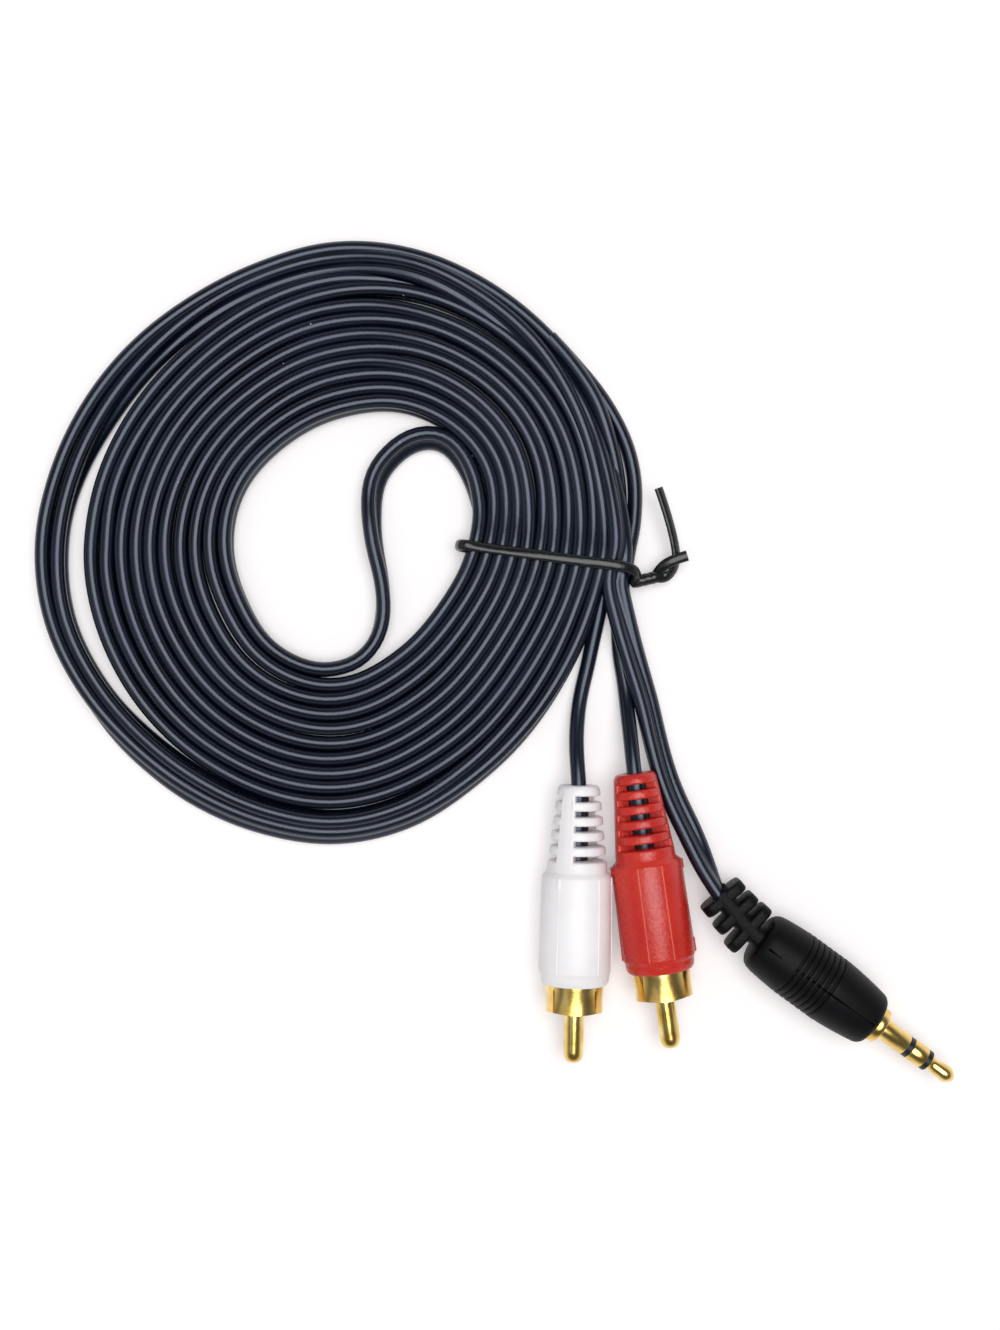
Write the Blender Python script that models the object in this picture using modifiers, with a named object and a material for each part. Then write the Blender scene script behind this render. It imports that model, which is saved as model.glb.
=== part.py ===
"""Stereo audio cable: two phono plugs, one 3.5 mm plug and a wound twin cord.

The cord is a flat twin. It lies wound on its edge around an open middle and is
held by a twist tie. Lengths are in metres and +Z is up. The layout is drawn
from the centre of the coil, and the root empty then puts the origin on the
table under the middle of the plugs and the tie.
"""
import math

import bmesh
import bpy
from mathutils import Matrix, Vector

MM = 0.001
GAP = 0.3 * MM

# Where the origin lies, measured from the centre of the coil
ORIGIN_FROM_COIL = (59.29 * MM, -38.33 * MM)

# Twin cord: two oval cores side by side
CORD_THICKNESS = 1.9 * MM
CORD_WIDTH = 4.5 * MM
LEAD_DIAMETER = 2.1 * MM
TUBE_STEP = 4.2 * MM

# Coil as a plain solid: radius at each angle, clockwise from the left
COIL_OUTER = [(186, 43.0), (210, 43.3), (240, 45.1), (270, 47.7), (300, 47.4), (330, 48.1),
              (360, 48.4), (390, 46.6), (420, 46.4), (450, 48.6), (480, 48.9), (510, 49.8),
              (525, 50.4), (538, 48.6), (543, 46.6), (545.5, 46.2)]
COIL_INNER = [(262, 18.6), (270, 19.0), (300, 18.8), (330, 17.3), (360, 16.5), (390, 16.9),
              (420, 17.6), (450, 20.4), (465, 22.4), (480, 24.4), (489, 25.6)]
COIL_INNER_FOLD = [(489.5, 23.4), (510, 24.0), (540, 21.8), (570, 19.3), (600, 19.7),
                   (615, 20.5), (621.5, 21.1)]
COIL_SLOT_OUTER = [(308, 42.3), (315, 42.9), (330, 43.2), (345, 43.6), (360, 42.7), (375, 41.9),
                   (390, 40.6), (404, 39.6)]
COIL_SLOT_INNER = [(308, 41.6), (315, 41.3), (330, 41.0), (345, 40.9), (360, 40.6), (375, 40.0),
                   (390, 39.6), (404, 39.2)]
OUTLINE_STEP_DEG = 5.0

# Route of the fold across the open middle, from the coil's centre
FOLD_ROUTE = [(13.4, 18.0), (12.0, 17.7), (10.4, 16.9), (6.8, 13.2), (5.4, 9.5), (5.2, 6.4),
              (5.5, 3.3), (6.1, -0.6), (7.3, -5.1), (7.8, -9.4), (7.5, -13.1), (6.8, -15.0),
              (5.0, -17.5), (3.6, -18.6)]

# Routes of the free ends: x, y and height of the middle of the cord
JACK_TAIL_ROUTE = [(44.8, -5.1, 3.5), (45.6, -9.3, 3.7), (47.1, -15.1, 3.3), (48.7, -20.4, 2.7),
                   (50.2, -25.3, 2.4), (51.4, -30.6, 2.5), (52.9, -36.4, 3.0), (54.7, -41.3, 3.7),
                   (57.0, -46.1, 4.5), (59.2, -51.2, 5.1), (61.2, -55.5, 5.5)]
JACK_TAIL_ROLL = [8, 16, 36, 48, 54, 55, 47, 38, 34, 52, 84]
WHITE_LEAD_ROUTE = [(44.3, -5.1, 1.1), (43.4, -8.7, 1.1), (41.9, -15.9, 1.1), (41.1, -19.7, 1.1),
                    (40.3, -22.9, 1.3), (39.6, -26.3, 1.9), (39.1, -30.6, 3.3), (38.95, -34.2, 4.8)]
RED_LEAD_ROUTE = [(46.7, -5.1, 1.1), (45.9, -8.7, 1.1), (45.7, -12.6, 1.1), (46.1, -17.9, 1.1),
                  (46.6, -21.3, 1.4), (47.0, -25.4, 2.3), (47.4, -30.0, 4.1), (47.7, -33.6, 5.2)]

# Phono plug: stations run from the cord's end to the tip of the pin
WHITE_PLUG_START = (39.1 * MM, -38.45 * MM)
WHITE_PLUG_HEADING = -91.2
RED_PLUG_START = (47.96 * MM, -36.54 * MM)
RED_PLUG_HEADING = -82.3
PHONO_BODY_RADIUS = 5.8 * MM
PHONO_SHOULDER_RADIUS = 5.5 * MM
PHONO_FRONT_RADIUS = 5.35 * MM
PHONO_BODY_START = 14.2 * MM
PHONO_BODY_END = 30.4 * MM
PHONO_FRONT = 31.6 * MM
RELIEF_LENGTH = 12.5 * MM
RELIEF_START_RADIUS = 3.3 * MM
RELIEF_END_RADIUS = 4.75 * MM
RELIEF_EDGE = 0.35 * MM
RELIEF_SLOTS = 5
RELIEF_SLOT_START = 2.1 * MM
RELIEF_SLOT_PITCH = 2.35 * MM
RELIEF_GROOVE_WIDTH = 0.6 * MM
RELIEF_GROOVE_DEPTH = 0.55 * MM
RELIEF_WINDOW_WIDTH = 3.5 * MM
RELIEF_WINDOW_LENGTH = 0.9 * MM
PHONO_CAVITY_RADIUS = 3.5 * MM
PHONO_CAVITY_START = 13.0 * MM
LEAD_END = PHONO_CAVITY_START + GAP
SHELL_RADIUS = 4.7 * MM
SHELL_WALL = 0.5 * MM
SHELL_BACK = 26.5 * MM
SHELL_FRONT = 36.0 * MM
SHELL_RIM = 0.3 * MM
SHELL_SLITS = 4
SHELL_SLIT_WIDTH = 0.6 * MM
SHELL_SLIT_BACK = 32.2 * MM
PIN_RADIUS = 1.6 * MM
PIN_TAIL_RADIUS = 1.0 * MM
PIN_TAIL_START = 20.0 * MM
PIN_TIP = 44.3 * MM
PIN_NOSE = 1.6 * MM
PHONO_INSULATOR_FRONT = 31.0 * MM
PHONO_INSULATOR_STEP = 28.0 * MM
PHONO_INSULATOR_TAIL = 1.2 * MM
INSULATOR_WALL = 0.7 * MM
WIRE_RADIUS = 0.4 * MM
GROUND_WIRE_OFFSET = 2.75 * MM

# 3.5 mm plug: stations run from the start of its body to its tip
JACK_START = (67.87 * MM, -62.91 * MM)
JACK_HEADING = -36.1
JACK_BODY_RADIUS = 5.5 * MM
JACK_BODY_FRONT = 22.6 * MM
JACK_BODY_FORM = [(0.0, 3.7), (0.35, 4.25), (1.0, 4.6), (3.0, 5.0), (5.5, 5.3)]
JACK_NOSE_FORM = [(14.5, 5.4), (18.0, 5.05), (20.6, 4.6), (21.8, 4.25), (22.4, 3.9), (22.6, 3.6)]
JACK_GROOVES = 7
JACK_GROOVE_START = 6.6 * MM
JACK_GROOVE_PITCH = 1.05 * MM
JACK_GROOVE_WIDTH = 0.35 * MM
JACK_GROOVE_DEPTH = 0.25 * MM
JACK_CAVITY_RADIUS = 3.6 * MM
JACK_CAVITY_START = 3.0 * MM
JACK_CAVITY_END = 19.0 * MM
JACK_SHAFT_RADIUS = 1.75 * MM
JACK_COLLAR_RADIUS = 2.95 * MM
JACK_COLLAR_LENGTH = 1.2 * MM
JACK_SHAFT_LENGTH = 14.4 * MM
SLEEVE_LENGTH = 5.0 * MM
RING_LENGTH = 2.7 * MM
INSULATOR_RING = 0.6 * MM
LAYER_GAP = 0.12 * MM
ROD_RADIUS = 0.30 * MM
LAYER_WALL = 0.18 * MM
SLEEVE_TAIL_RADIUS = 2.2 * MM
SLEEVE_TAIL_START = 14.0 * MM
TAIL_STAGGER = 1.4 * MM
TIP_FORM = [(0.0, 1.25), (0.55, 1.02), (1.2, 1.15), (2.8, 1.3), (3.3, 1.22), (3.95, 0.55), (4.2, 0.0)]
JACK_RELIEF_POINTS = [(0.6, 0.0), (-2.6, -0.35), (-5.6, -1.1), (-9.3, -2.0)]
JACK_SPINE_WIDTH = 2.9 * MM
JACK_SPINE_HEIGHT_SHARE = 1.9
JACK_RIBS = [(-2.4, 4.85), (-5.4, 4.2), (-8.4, 3.9)]
JACK_RIB_THICKNESS = 1.5 * MM
JACK_RIB_HEIGHT_SHARE = 0.8

# Twist tie: a flat plastic band moulded around a wire
TIE_WIDTH = 1.8 * MM
TIE_THICKNESS = 0.8 * MM
TIE_LIFT = 0.12 * MM
TIE_LEFT = (20.0, 0.0)
TIE_RIGHT = (47.6, -3.75)
TIE_BUNDLE_TOP = 5.7 * MM
TIE_TWIST_START = (48.6, -5.0, 3.0)
TIE_TWIST_END = (52.0, -4.6, 3.2)
TIE_TWIST_TURNS = 1.5
TIE_SHORT_END = [(53.3, -3.2, 3.9), (54.9, -2.4, 4.1), (56.7, -1.8, 4.2)]
TIE_LONG_END = [(53.4, -4.9, 2.6), (54.5, -3.6, 2.6), (54.9, -1.6, 3.0), (54.2, 2.2, 3.8),
                (53.3, 5.9, 4.6), (52.3, 9.0, 5.2)]
TIE_PLATEAU = 1.7
TIE_SMOOTHING = 3

TURN_SEGMENTS = 28
SHAFT_SEGMENTS = 20
FINE_SEGMENTS = 12
CUT_MARGIN = 1.0 * MM


def clear_scene():
    """Remove every object that the file opened with."""
    for old in list(bpy.data.objects):
        bpy.data.objects.remove(old, do_unlink=True)


def new_collection(name):
    collection = bpy.data.collections.new(name)
    bpy.context.scene.collection.children.link(collection)
    return collection


def new_material(name, colour, roughness, metallic=0.0):
    material = bpy.data.materials.new(name)
    material.use_nodes = True
    shader = material.node_tree.nodes["Principled BSDF"]
    shader.inputs["Base Color"].default_value = (*colour, 1.0)
    shader.inputs["Roughness"].default_value = roughness
    shader.inputs["Metallic"].default_value = metallic
    material.diffuse_color = (*colour, 1.0)
    return material


def add_object(name, data, collection, parent, material=None):
    """Link an object into a collection, under its parent empty."""
    obj = bpy.data.objects.new(name, data)
    collection.objects.link(obj)
    obj.parent = parent
    if material:
        data.materials.append(material)
    return obj


def add_empty(name, collection, location, rotation, parent=None):
    empty = bpy.data.objects.new(name, None)
    collection.objects.link(empty)
    empty.location = location
    empty.rotation_euler = rotation
    empty.parent = parent
    return empty


def hide_cutter(obj):
    obj.hide_render = True
    obj.display_type = "WIRE"


def turned(name, profile, collection, parent, material, segments):
    """Turn a profile of (station, radius) points about the plug's axis."""
    hollow = profile[0][1] > 0.0
    mesh = bpy.data.meshes.new(name)
    points = [(radius, 0.0, -station) for station, radius in profile]
    edges = [(i, i + 1) for i in range(len(points) - 1)]
    if hollow:
        edges.append((len(points) - 1, 0))
    mesh.from_pydata(points, edges, [])
    obj = add_object(name, mesh, collection, parent, material)
    screw = obj.modifiers.new("Turn", "SCREW")
    screw.steps = segments
    screw.render_steps = segments
    screw.use_merge_vertices = True
    screw.merge_threshold = 0.00001
    return obj


def boolean(obj, cutter, operation):
    cut = obj.modifiers.new(operation.title(), "BOOLEAN")
    cut.operation = operation
    cut.object = cutter
    cut.solver = "EXACT"


def box_cutter(name, boxes, collection, parent):
    """One cutter made of boxes, each given as (centre, size, turn about the axis)."""
    shape = bmesh.new()
    for centre, size, turn in boxes:
        place = Matrix.Rotation(turn, 4, "Z") @ Matrix.Translation(centre)
        bmesh.ops.create_cube(shape, size=1.0, matrix=place @ Matrix.Diagonal((*size, 1.0)))
    mesh = bpy.data.meshes.new(name)
    shape.to_mesh(mesh)
    shape.free()
    obj = add_object(name, mesh, collection, parent)
    hide_cutter(obj)
    return obj


def spread(low, high, share):
    return low + (high - low) * share


def catmull(before, start, end, after, share):
    """One point of a smooth curve through start and end."""
    a = 2.0 * start
    b = end - before
    c = 2.0 * before - 5.0 * start + 4.0 * end - after
    d = 3.0 * start - before - 3.0 * end + after
    return 0.5 * (a + b * share + c * share ** 2 + d * share ** 3)


def smooth_route(points, step):
    """Read points about one step apart from a smooth curve through the route."""
    knots = [2.0 * points[0] - points[1]] + points + [2.0 * points[-1] - points[-2]]
    dense = []
    for i in range(1, len(knots) - 2):
        for k in range(8):
            dense.append(catmull(knots[i - 1], knots[i], knots[i + 1], knots[i + 2], k / 8.0))
    dense.append(points[-1].copy())
    length = sum((b - a).length for a, b in zip(dense, dense[1:]))
    count = max(2, round(length / step))
    route = [dense[0]]
    walked = 0.0
    for a, b in zip(dense, dense[1:]):
        walked += (b - a).length
        if walked >= length * len(route) / count and len(route) < count:
            route.append(b)
    route.append(dense[-1])
    return route


def tube(name, points, diameter, collection, parent, material):
    """A plain round cord through its points, with filled caps."""
    curve = bpy.data.curves.new(name, "CURVE")
    curve.dimensions = "3D"
    curve.bevel_depth = diameter / 2.0
    curve.bevel_resolution = 2
    curve.use_fill_caps = True
    curve.twist_mode = "MINIMUM"
    spline = curve.splines.new("POLY")
    spline.points.add(len(points) - 1)
    for knot, point in zip(spline.points, points):
        knot.co = (*point, 1.0)
    return add_object(name, curve, collection, parent, material)


def radius_at(outline, angle):
    """Radius of an outline at an angle, smooth between its own points."""
    for i in range(len(outline) - 1):
        low, high = outline[i], outline[i + 1]
        if low[0] <= angle <= high[0]:
            before = outline[max(i - 1, 0)][1]
            after = outline[min(i + 2, len(outline) - 1)][1]
            share = (angle - low[0]) / (high[0] - low[0])
            return catmull(before, low[1], high[1], after, share) * MM
    return outline[-1][1] * MM


def ring_point(angle, radius):
    """A point at an angle clockwise from the left of the coil's centre."""
    turn = math.radians(angle)
    return Vector((-radius * math.cos(turn), radius * math.sin(turn)))


def outline_points(outline):
    start, end = outline[0][0], outline[-1][0]
    count = max(1, round((end - start) / OUTLINE_STEP_DEG))
    angles = [spread(start, end, i / count) for i in range(count + 1)]
    return [ring_point(angle, radius_at(outline, angle)) for angle in angles]


def mesh_from_curve(obj, collection, parent, material):
    """Replace a curve object by the mesh that it evaluates to, with welded caps."""
    bpy.context.view_layer.update()
    seen = obj.evaluated_get(bpy.context.evaluated_depsgraph_get())
    mesh = bpy.data.meshes.new_from_object(seen)
    shape = bmesh.new()
    shape.from_mesh(mesh)
    bmesh.ops.remove_doubles(shape, verts=shape.verts, dist=0.00001)
    shape.to_mesh(mesh)
    shape.free()
    name = obj.name
    place = obj.matrix_local.copy()
    bpy.data.objects.remove(obj, do_unlink=True)
    mesh.materials.clear()
    made = add_object(name, mesh, collection, parent, material)
    made.matrix_local = place
    return made


def make_coil(parts, cutters, root, material):
    """The wound cord as one flat ring, open in the middle and beside its outer turns."""
    loops = [
        outline_points(COIL_OUTER),
        outline_points(COIL_INNER) + outline_points(COIL_INNER_FOLD),
        outline_points(COIL_SLOT_OUTER) + outline_points(COIL_SLOT_INNER)[::-1],
    ]
    curve = bpy.data.curves.new("cord_coil", "CURVE")
    curve.dimensions = "2D"
    curve.fill_mode = "BOTH"
    curve.extrude = CORD_WIDTH / 2.0
    for loop in loops:
        spline = curve.splines.new("POLY")
        spline.points.add(len(loop) - 1)
        spline.use_cyclic_u = True
        for knot, point in zip(spline.points, loop):
            knot.co = (point.x, point.y, 0.0, 1.0)
    flat = add_object("cord_coil", curve, parts, root)
    flat.location = (0.0, 0.0, CORD_WIDTH / 2.0)
    coil = mesh_from_curve(flat, parts, root, material)
    left, right = Vector(TIE_LEFT) * MM, Vector(TIE_RIGHT) * MM
    run = right - left
    middle = left + run / 2.0
    size = (run.length + 2.0 * CUT_MARGIN, TIE_WIDTH + 2.0 * GAP,
            2.0 * (TIE_LIFT + TIE_THICKNESS + GAP))
    channel = box_cutter("tie_channel", [(Vector(), size, 0.0)], cutters, root)
    channel.location = (middle.x, middle.y, 0.0)
    channel.rotation_euler = (0.0, 0.0, math.atan2(run.y, run.x))
    boolean(coil, channel, "DIFFERENCE")
    return coil


def make_fold(parts, root, material):
    """The cord crosses the open middle on its edge: two cores, one above the other."""
    core_spacing = CORD_WIDTH / 2.0
    for name, height in (("fold_lower_core", core_spacing / 2.0),
                         ("fold_upper_core", core_spacing * 1.5)):
        route = [Vector((x * MM, y * MM, height)) for x, y in FOLD_ROUTE]
        tube(name, smooth_route(route, TUBE_STEP), CORD_THICKNESS, parts, root, material)


def make_jack_tail(parts, root, material):
    """The twin between the tie and the 3.5 mm plug turns from flat to upright."""
    middle = [Vector(point) * MM for point in JACK_TAIL_ROUTE]
    sides = ([], [])
    for i, centre in enumerate(middle):
        ahead = middle[min(i + 1, len(middle) - 1)] - middle[max(i - 1, 0)]
        across = Vector((-ahead.y, ahead.x, 0.0)).normalized()
        roll = math.radians(JACK_TAIL_ROLL[i])
        reach = (-across * math.cos(roll) + Vector((0.0, 0.0, math.sin(roll)))) * CORD_WIDTH / 4.0
        sides[0].append(centre + reach)
        sides[1].append(centre - reach)
    for name, route in zip(("jack_tail_left_core", "jack_tail_right_core"), sides):
        tube(name, smooth_route(route, TUBE_STEP), CORD_THICKNESS, parts, root, material)


def make_lead(name, route, start, heading, parts, root, material):
    """A single core from the tie into the bore of its phono plug."""
    turn = math.radians(heading)
    along = Vector((math.cos(turn), math.sin(turn), 0.0))
    entry = Vector((*start, PHONO_BODY_RADIUS))
    points = [Vector(point) * MM for point in route]
    points += [entry - along * GAP, entry + along * LEAD_END / 2.0, entry + along * LEAD_END]
    tube(name, smooth_route(points, TUBE_STEP), LEAD_DIAMETER, parts, root, material)


def phono_body_profile():
    """Strain relief with grooves, round body, front bore, cavity and the cord's bore."""
    bore = LEAD_DIAMETER / 2.0 + GAP
    profile = [(0.0, RELIEF_START_RADIUS - RELIEF_EDGE), (RELIEF_EDGE, RELIEF_START_RADIUS)]
    for i in range(RELIEF_SLOTS):
        middle = RELIEF_SLOT_START + i * RELIEF_SLOT_PITCH
        radius = spread(RELIEF_START_RADIUS, RELIEF_END_RADIUS, middle / RELIEF_LENGTH)
        back, front = middle - RELIEF_GROOVE_WIDTH / 2.0, middle + RELIEF_GROOVE_WIDTH / 2.0
        floor = radius - RELIEF_GROOVE_DEPTH
        profile += [(back, radius), (back, floor), (front, floor), (front, radius)]
    profile += [
        (RELIEF_LENGTH, RELIEF_END_RADIUS),
        (spread(RELIEF_LENGTH, PHONO_BODY_START, 0.5),
         spread(RELIEF_END_RADIUS, PHONO_SHOULDER_RADIUS, 0.8)),
        (PHONO_BODY_START, PHONO_SHOULDER_RADIUS),
        (PHONO_BODY_END, PHONO_BODY_RADIUS),
        (PHONO_FRONT, PHONO_FRONT_RADIUS),
        (PHONO_FRONT, SHELL_RADIUS + GAP),
        (SHELL_BACK - GAP, SHELL_RADIUS + GAP),
        (SHELL_BACK - GAP, PHONO_CAVITY_RADIUS),
        (PHONO_CAVITY_START, PHONO_CAVITY_RADIUS),
        (PHONO_CAVITY_START, bore),
        (0.0, bore),
    ]
    return profile


def make_phono_plug(colour, start, heading, parts, cutters, root, materials):
    """One moulded phono plug with its shell, insulator, pin and inner wires."""
    turn = (0.0, math.radians(90.0), math.radians(heading + 180.0))
    axis = add_empty(colour + "_plug_axis", parts, (*start, PHONO_BODY_RADIUS), turn, root)

    body = turned(colour + "_overmould", phono_body_profile(), parts, axis,
                  materials[colour], TURN_SEGMENTS)
    windows = []
    for i in range(RELIEF_SLOTS):
        station = RELIEF_SLOT_START + i * RELIEF_SLOT_PITCH
        size = (4.0 * RELIEF_END_RADIUS, RELIEF_WINDOW_WIDTH, RELIEF_WINDOW_LENGTH)
        windows.append((Vector((0.0, 0.0, -station)), size, 0.0))
    boolean(body, box_cutter(colour + "_relief_windows", windows, cutters, axis), "DIFFERENCE")

    inside = SHELL_RADIUS - SHELL_WALL
    hole = PIN_TAIL_RADIUS + GAP + INSULATOR_WALL + GAP
    shell = turned(colour + "_shell", [
        (SHELL_BACK, SHELL_RADIUS),
        (SHELL_FRONT - SHELL_RIM, SHELL_RADIUS),
        (SHELL_FRONT, SHELL_RADIUS - SHELL_RIM / 2.0),
        (SHELL_FRONT, inside),
        (SHELL_BACK + SHELL_WALL, inside),
        (SHELL_BACK + SHELL_WALL, hole),
        (SHELL_BACK, hole),
    ], parts, axis, materials["gold"], TURN_SEGMENTS)
    slits = []
    slit_length = SHELL_FRONT - SHELL_SLIT_BACK + CUT_MARGIN
    for i in range(SHELL_SLITS):
        centre = Vector((SHELL_RADIUS, 0.0, -SHELL_SLIT_BACK - slit_length / 2.0))
        size = (4.0 * SHELL_WALL, SHELL_SLIT_WIDTH, slit_length)
        slits.append((centre, size, math.radians(45.0) + 2.0 * math.pi * i / SHELL_SLITS))
    boolean(shell, box_cutter(colour + "_shell_slits", slits, cutters, axis), "DIFFERENCE")

    boss = PIN_TAIL_RADIUS + GAP + INSULATOR_WALL
    back = SHELL_BACK + SHELL_WALL + GAP
    turned(colour + "_insulator", [
        (SHELL_BACK - PHONO_INSULATOR_TAIL, boss),
        (back, boss),
        (back, inside - GAP),
        (PHONO_INSULATOR_FRONT, inside - GAP),
        (PHONO_INSULATOR_FRONT, PIN_RADIUS + GAP),
        (PHONO_INSULATOR_STEP, PIN_RADIUS + GAP),
        (PHONO_INSULATOR_STEP, PIN_TAIL_RADIUS + GAP),
        (SHELL_BACK - PHONO_INSULATOR_TAIL, PIN_TAIL_RADIUS + GAP),
    ], parts, axis, materials["cream"], SHAFT_SEGMENTS)

    nose = PIN_TIP - PIN_NOSE
    turned(colour + "_centre_pin", [
        (PIN_TAIL_START, 0.0),
        (PIN_TAIL_START, PIN_TAIL_RADIUS),
        (PHONO_INSULATOR_STEP + GAP, PIN_TAIL_RADIUS),
        (PHONO_INSULATOR_STEP + GAP, PIN_RADIUS),
        (nose, PIN_RADIUS),
        (nose + 0.45 * PIN_NOSE, 0.9 * PIN_RADIUS),
        (nose + 0.8 * PIN_NOSE, 0.6 * PIN_RADIUS),
        (PIN_TIP, 0.0),
    ], parts, axis, materials["gold"], SHAFT_SEGMENTS)

    turned(colour + "_signal_wire", [
        (LEAD_END + GAP, 0.0),
        (LEAD_END + GAP, WIRE_RADIUS),
        (PIN_TAIL_START - GAP, WIRE_RADIUS),
        (PIN_TAIL_START - GAP, 0.0),
    ], parts, axis, materials["copper"], FINE_SEGMENTS)
    ground_end = SHELL_BACK - GAP - WIRE_RADIUS
    ground = [
        Vector((WIRE_RADIUS * 2.0 + GAP, 0.0, -LEAD_END - GAP)),
        Vector((GROUND_WIRE_OFFSET, 0.0, -PHONO_CAVITY_START - 2.0 * GROUND_WIRE_OFFSET)),
        Vector((GROUND_WIRE_OFFSET, 0.0, -ground_end)),
    ]
    tube(colour + "_ground_wire", ground, 2.0 * WIRE_RADIUS, parts, axis, materials["copper"])
    return axis


def jack_body_profile():
    """Round moulded grip with ring grooves, a front bore and the cavity behind it."""
    profile = [(0.0, 0.0)] + [(s * MM, r * MM) for s, r in JACK_BODY_FORM]
    for i in range(JACK_GROOVES):
        back = JACK_GROOVE_START + i * JACK_GROOVE_PITCH
        front = back + JACK_GROOVE_WIDTH
        floor = JACK_BODY_RADIUS - JACK_GROOVE_DEPTH
        profile += [(back, JACK_BODY_RADIUS), (back, floor), (front, floor), (front, JACK_BODY_RADIUS)]
    profile += [(s * MM, r * MM) for s, r in JACK_NOSE_FORM]
    bore = SLEEVE_TAIL_RADIUS + GAP
    profile += [
        (JACK_BODY_FRONT, bore),
        (JACK_CAVITY_END, bore),
        (JACK_CAVITY_END, JACK_CAVITY_RADIUS),
        (JACK_CAVITY_START, JACK_CAVITY_RADIUS),
        (JACK_CAVITY_START, 0.0),
    ]
    return profile


def solid_mesh(name, build, collection, parent):
    shape = bmesh.new()
    build(shape)
    mesh = bpy.data.meshes.new(name)
    shape.to_mesh(mesh)
    shape.free()
    return add_object(name, mesh, collection, parent)


def make_jack_relief(cutters, axis):
    """Bent spine and three oval ribs behind the 3.5 mm plug's body."""
    bend = [Vector((0.0, y * MM, -s * MM)) for s, y in JACK_RELIEF_POINTS]
    spine_curve = tube("jack_relief_spine", smooth_route(bend, TUBE_STEP / 2.0),
                       JACK_SPINE_WIDTH, cutters, axis, None)
    spine_curve.scale = (JACK_SPINE_HEIGHT_SHARE, 1.0, 1.0)
    spine = mesh_from_curve(spine_curve, cutters, axis, None)
    hide_cutter(spine)

    def build(shape):
        route = smooth_route(bend, MM)
        for station, radius in JACK_RIBS:
            centre = min(route, key=lambda point: abs(point.z + station * MM))
            near = route.index(centre)
            along = (route[min(near + 1, len(route) - 1)] - route[max(near - 1, 0)]).normalized()
            turn = along.to_track_quat("Z", "X").to_matrix().to_4x4()
            oval = Matrix.Diagonal((JACK_RIB_HEIGHT_SHARE, 1.0, 1.0, 1.0))
            bmesh.ops.create_cone(shape, cap_ends=True, segments=SHAFT_SEGMENTS,
                                  radius1=radius * MM, radius2=radius * MM, depth=JACK_RIB_THICKNESS,
                                  matrix=Matrix.Translation(centre) @ turn @ oval)

    ribs = solid_mesh("jack_relief_ribs", build, cutters, axis)
    hide_cutter(ribs)
    return spine, ribs


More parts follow.
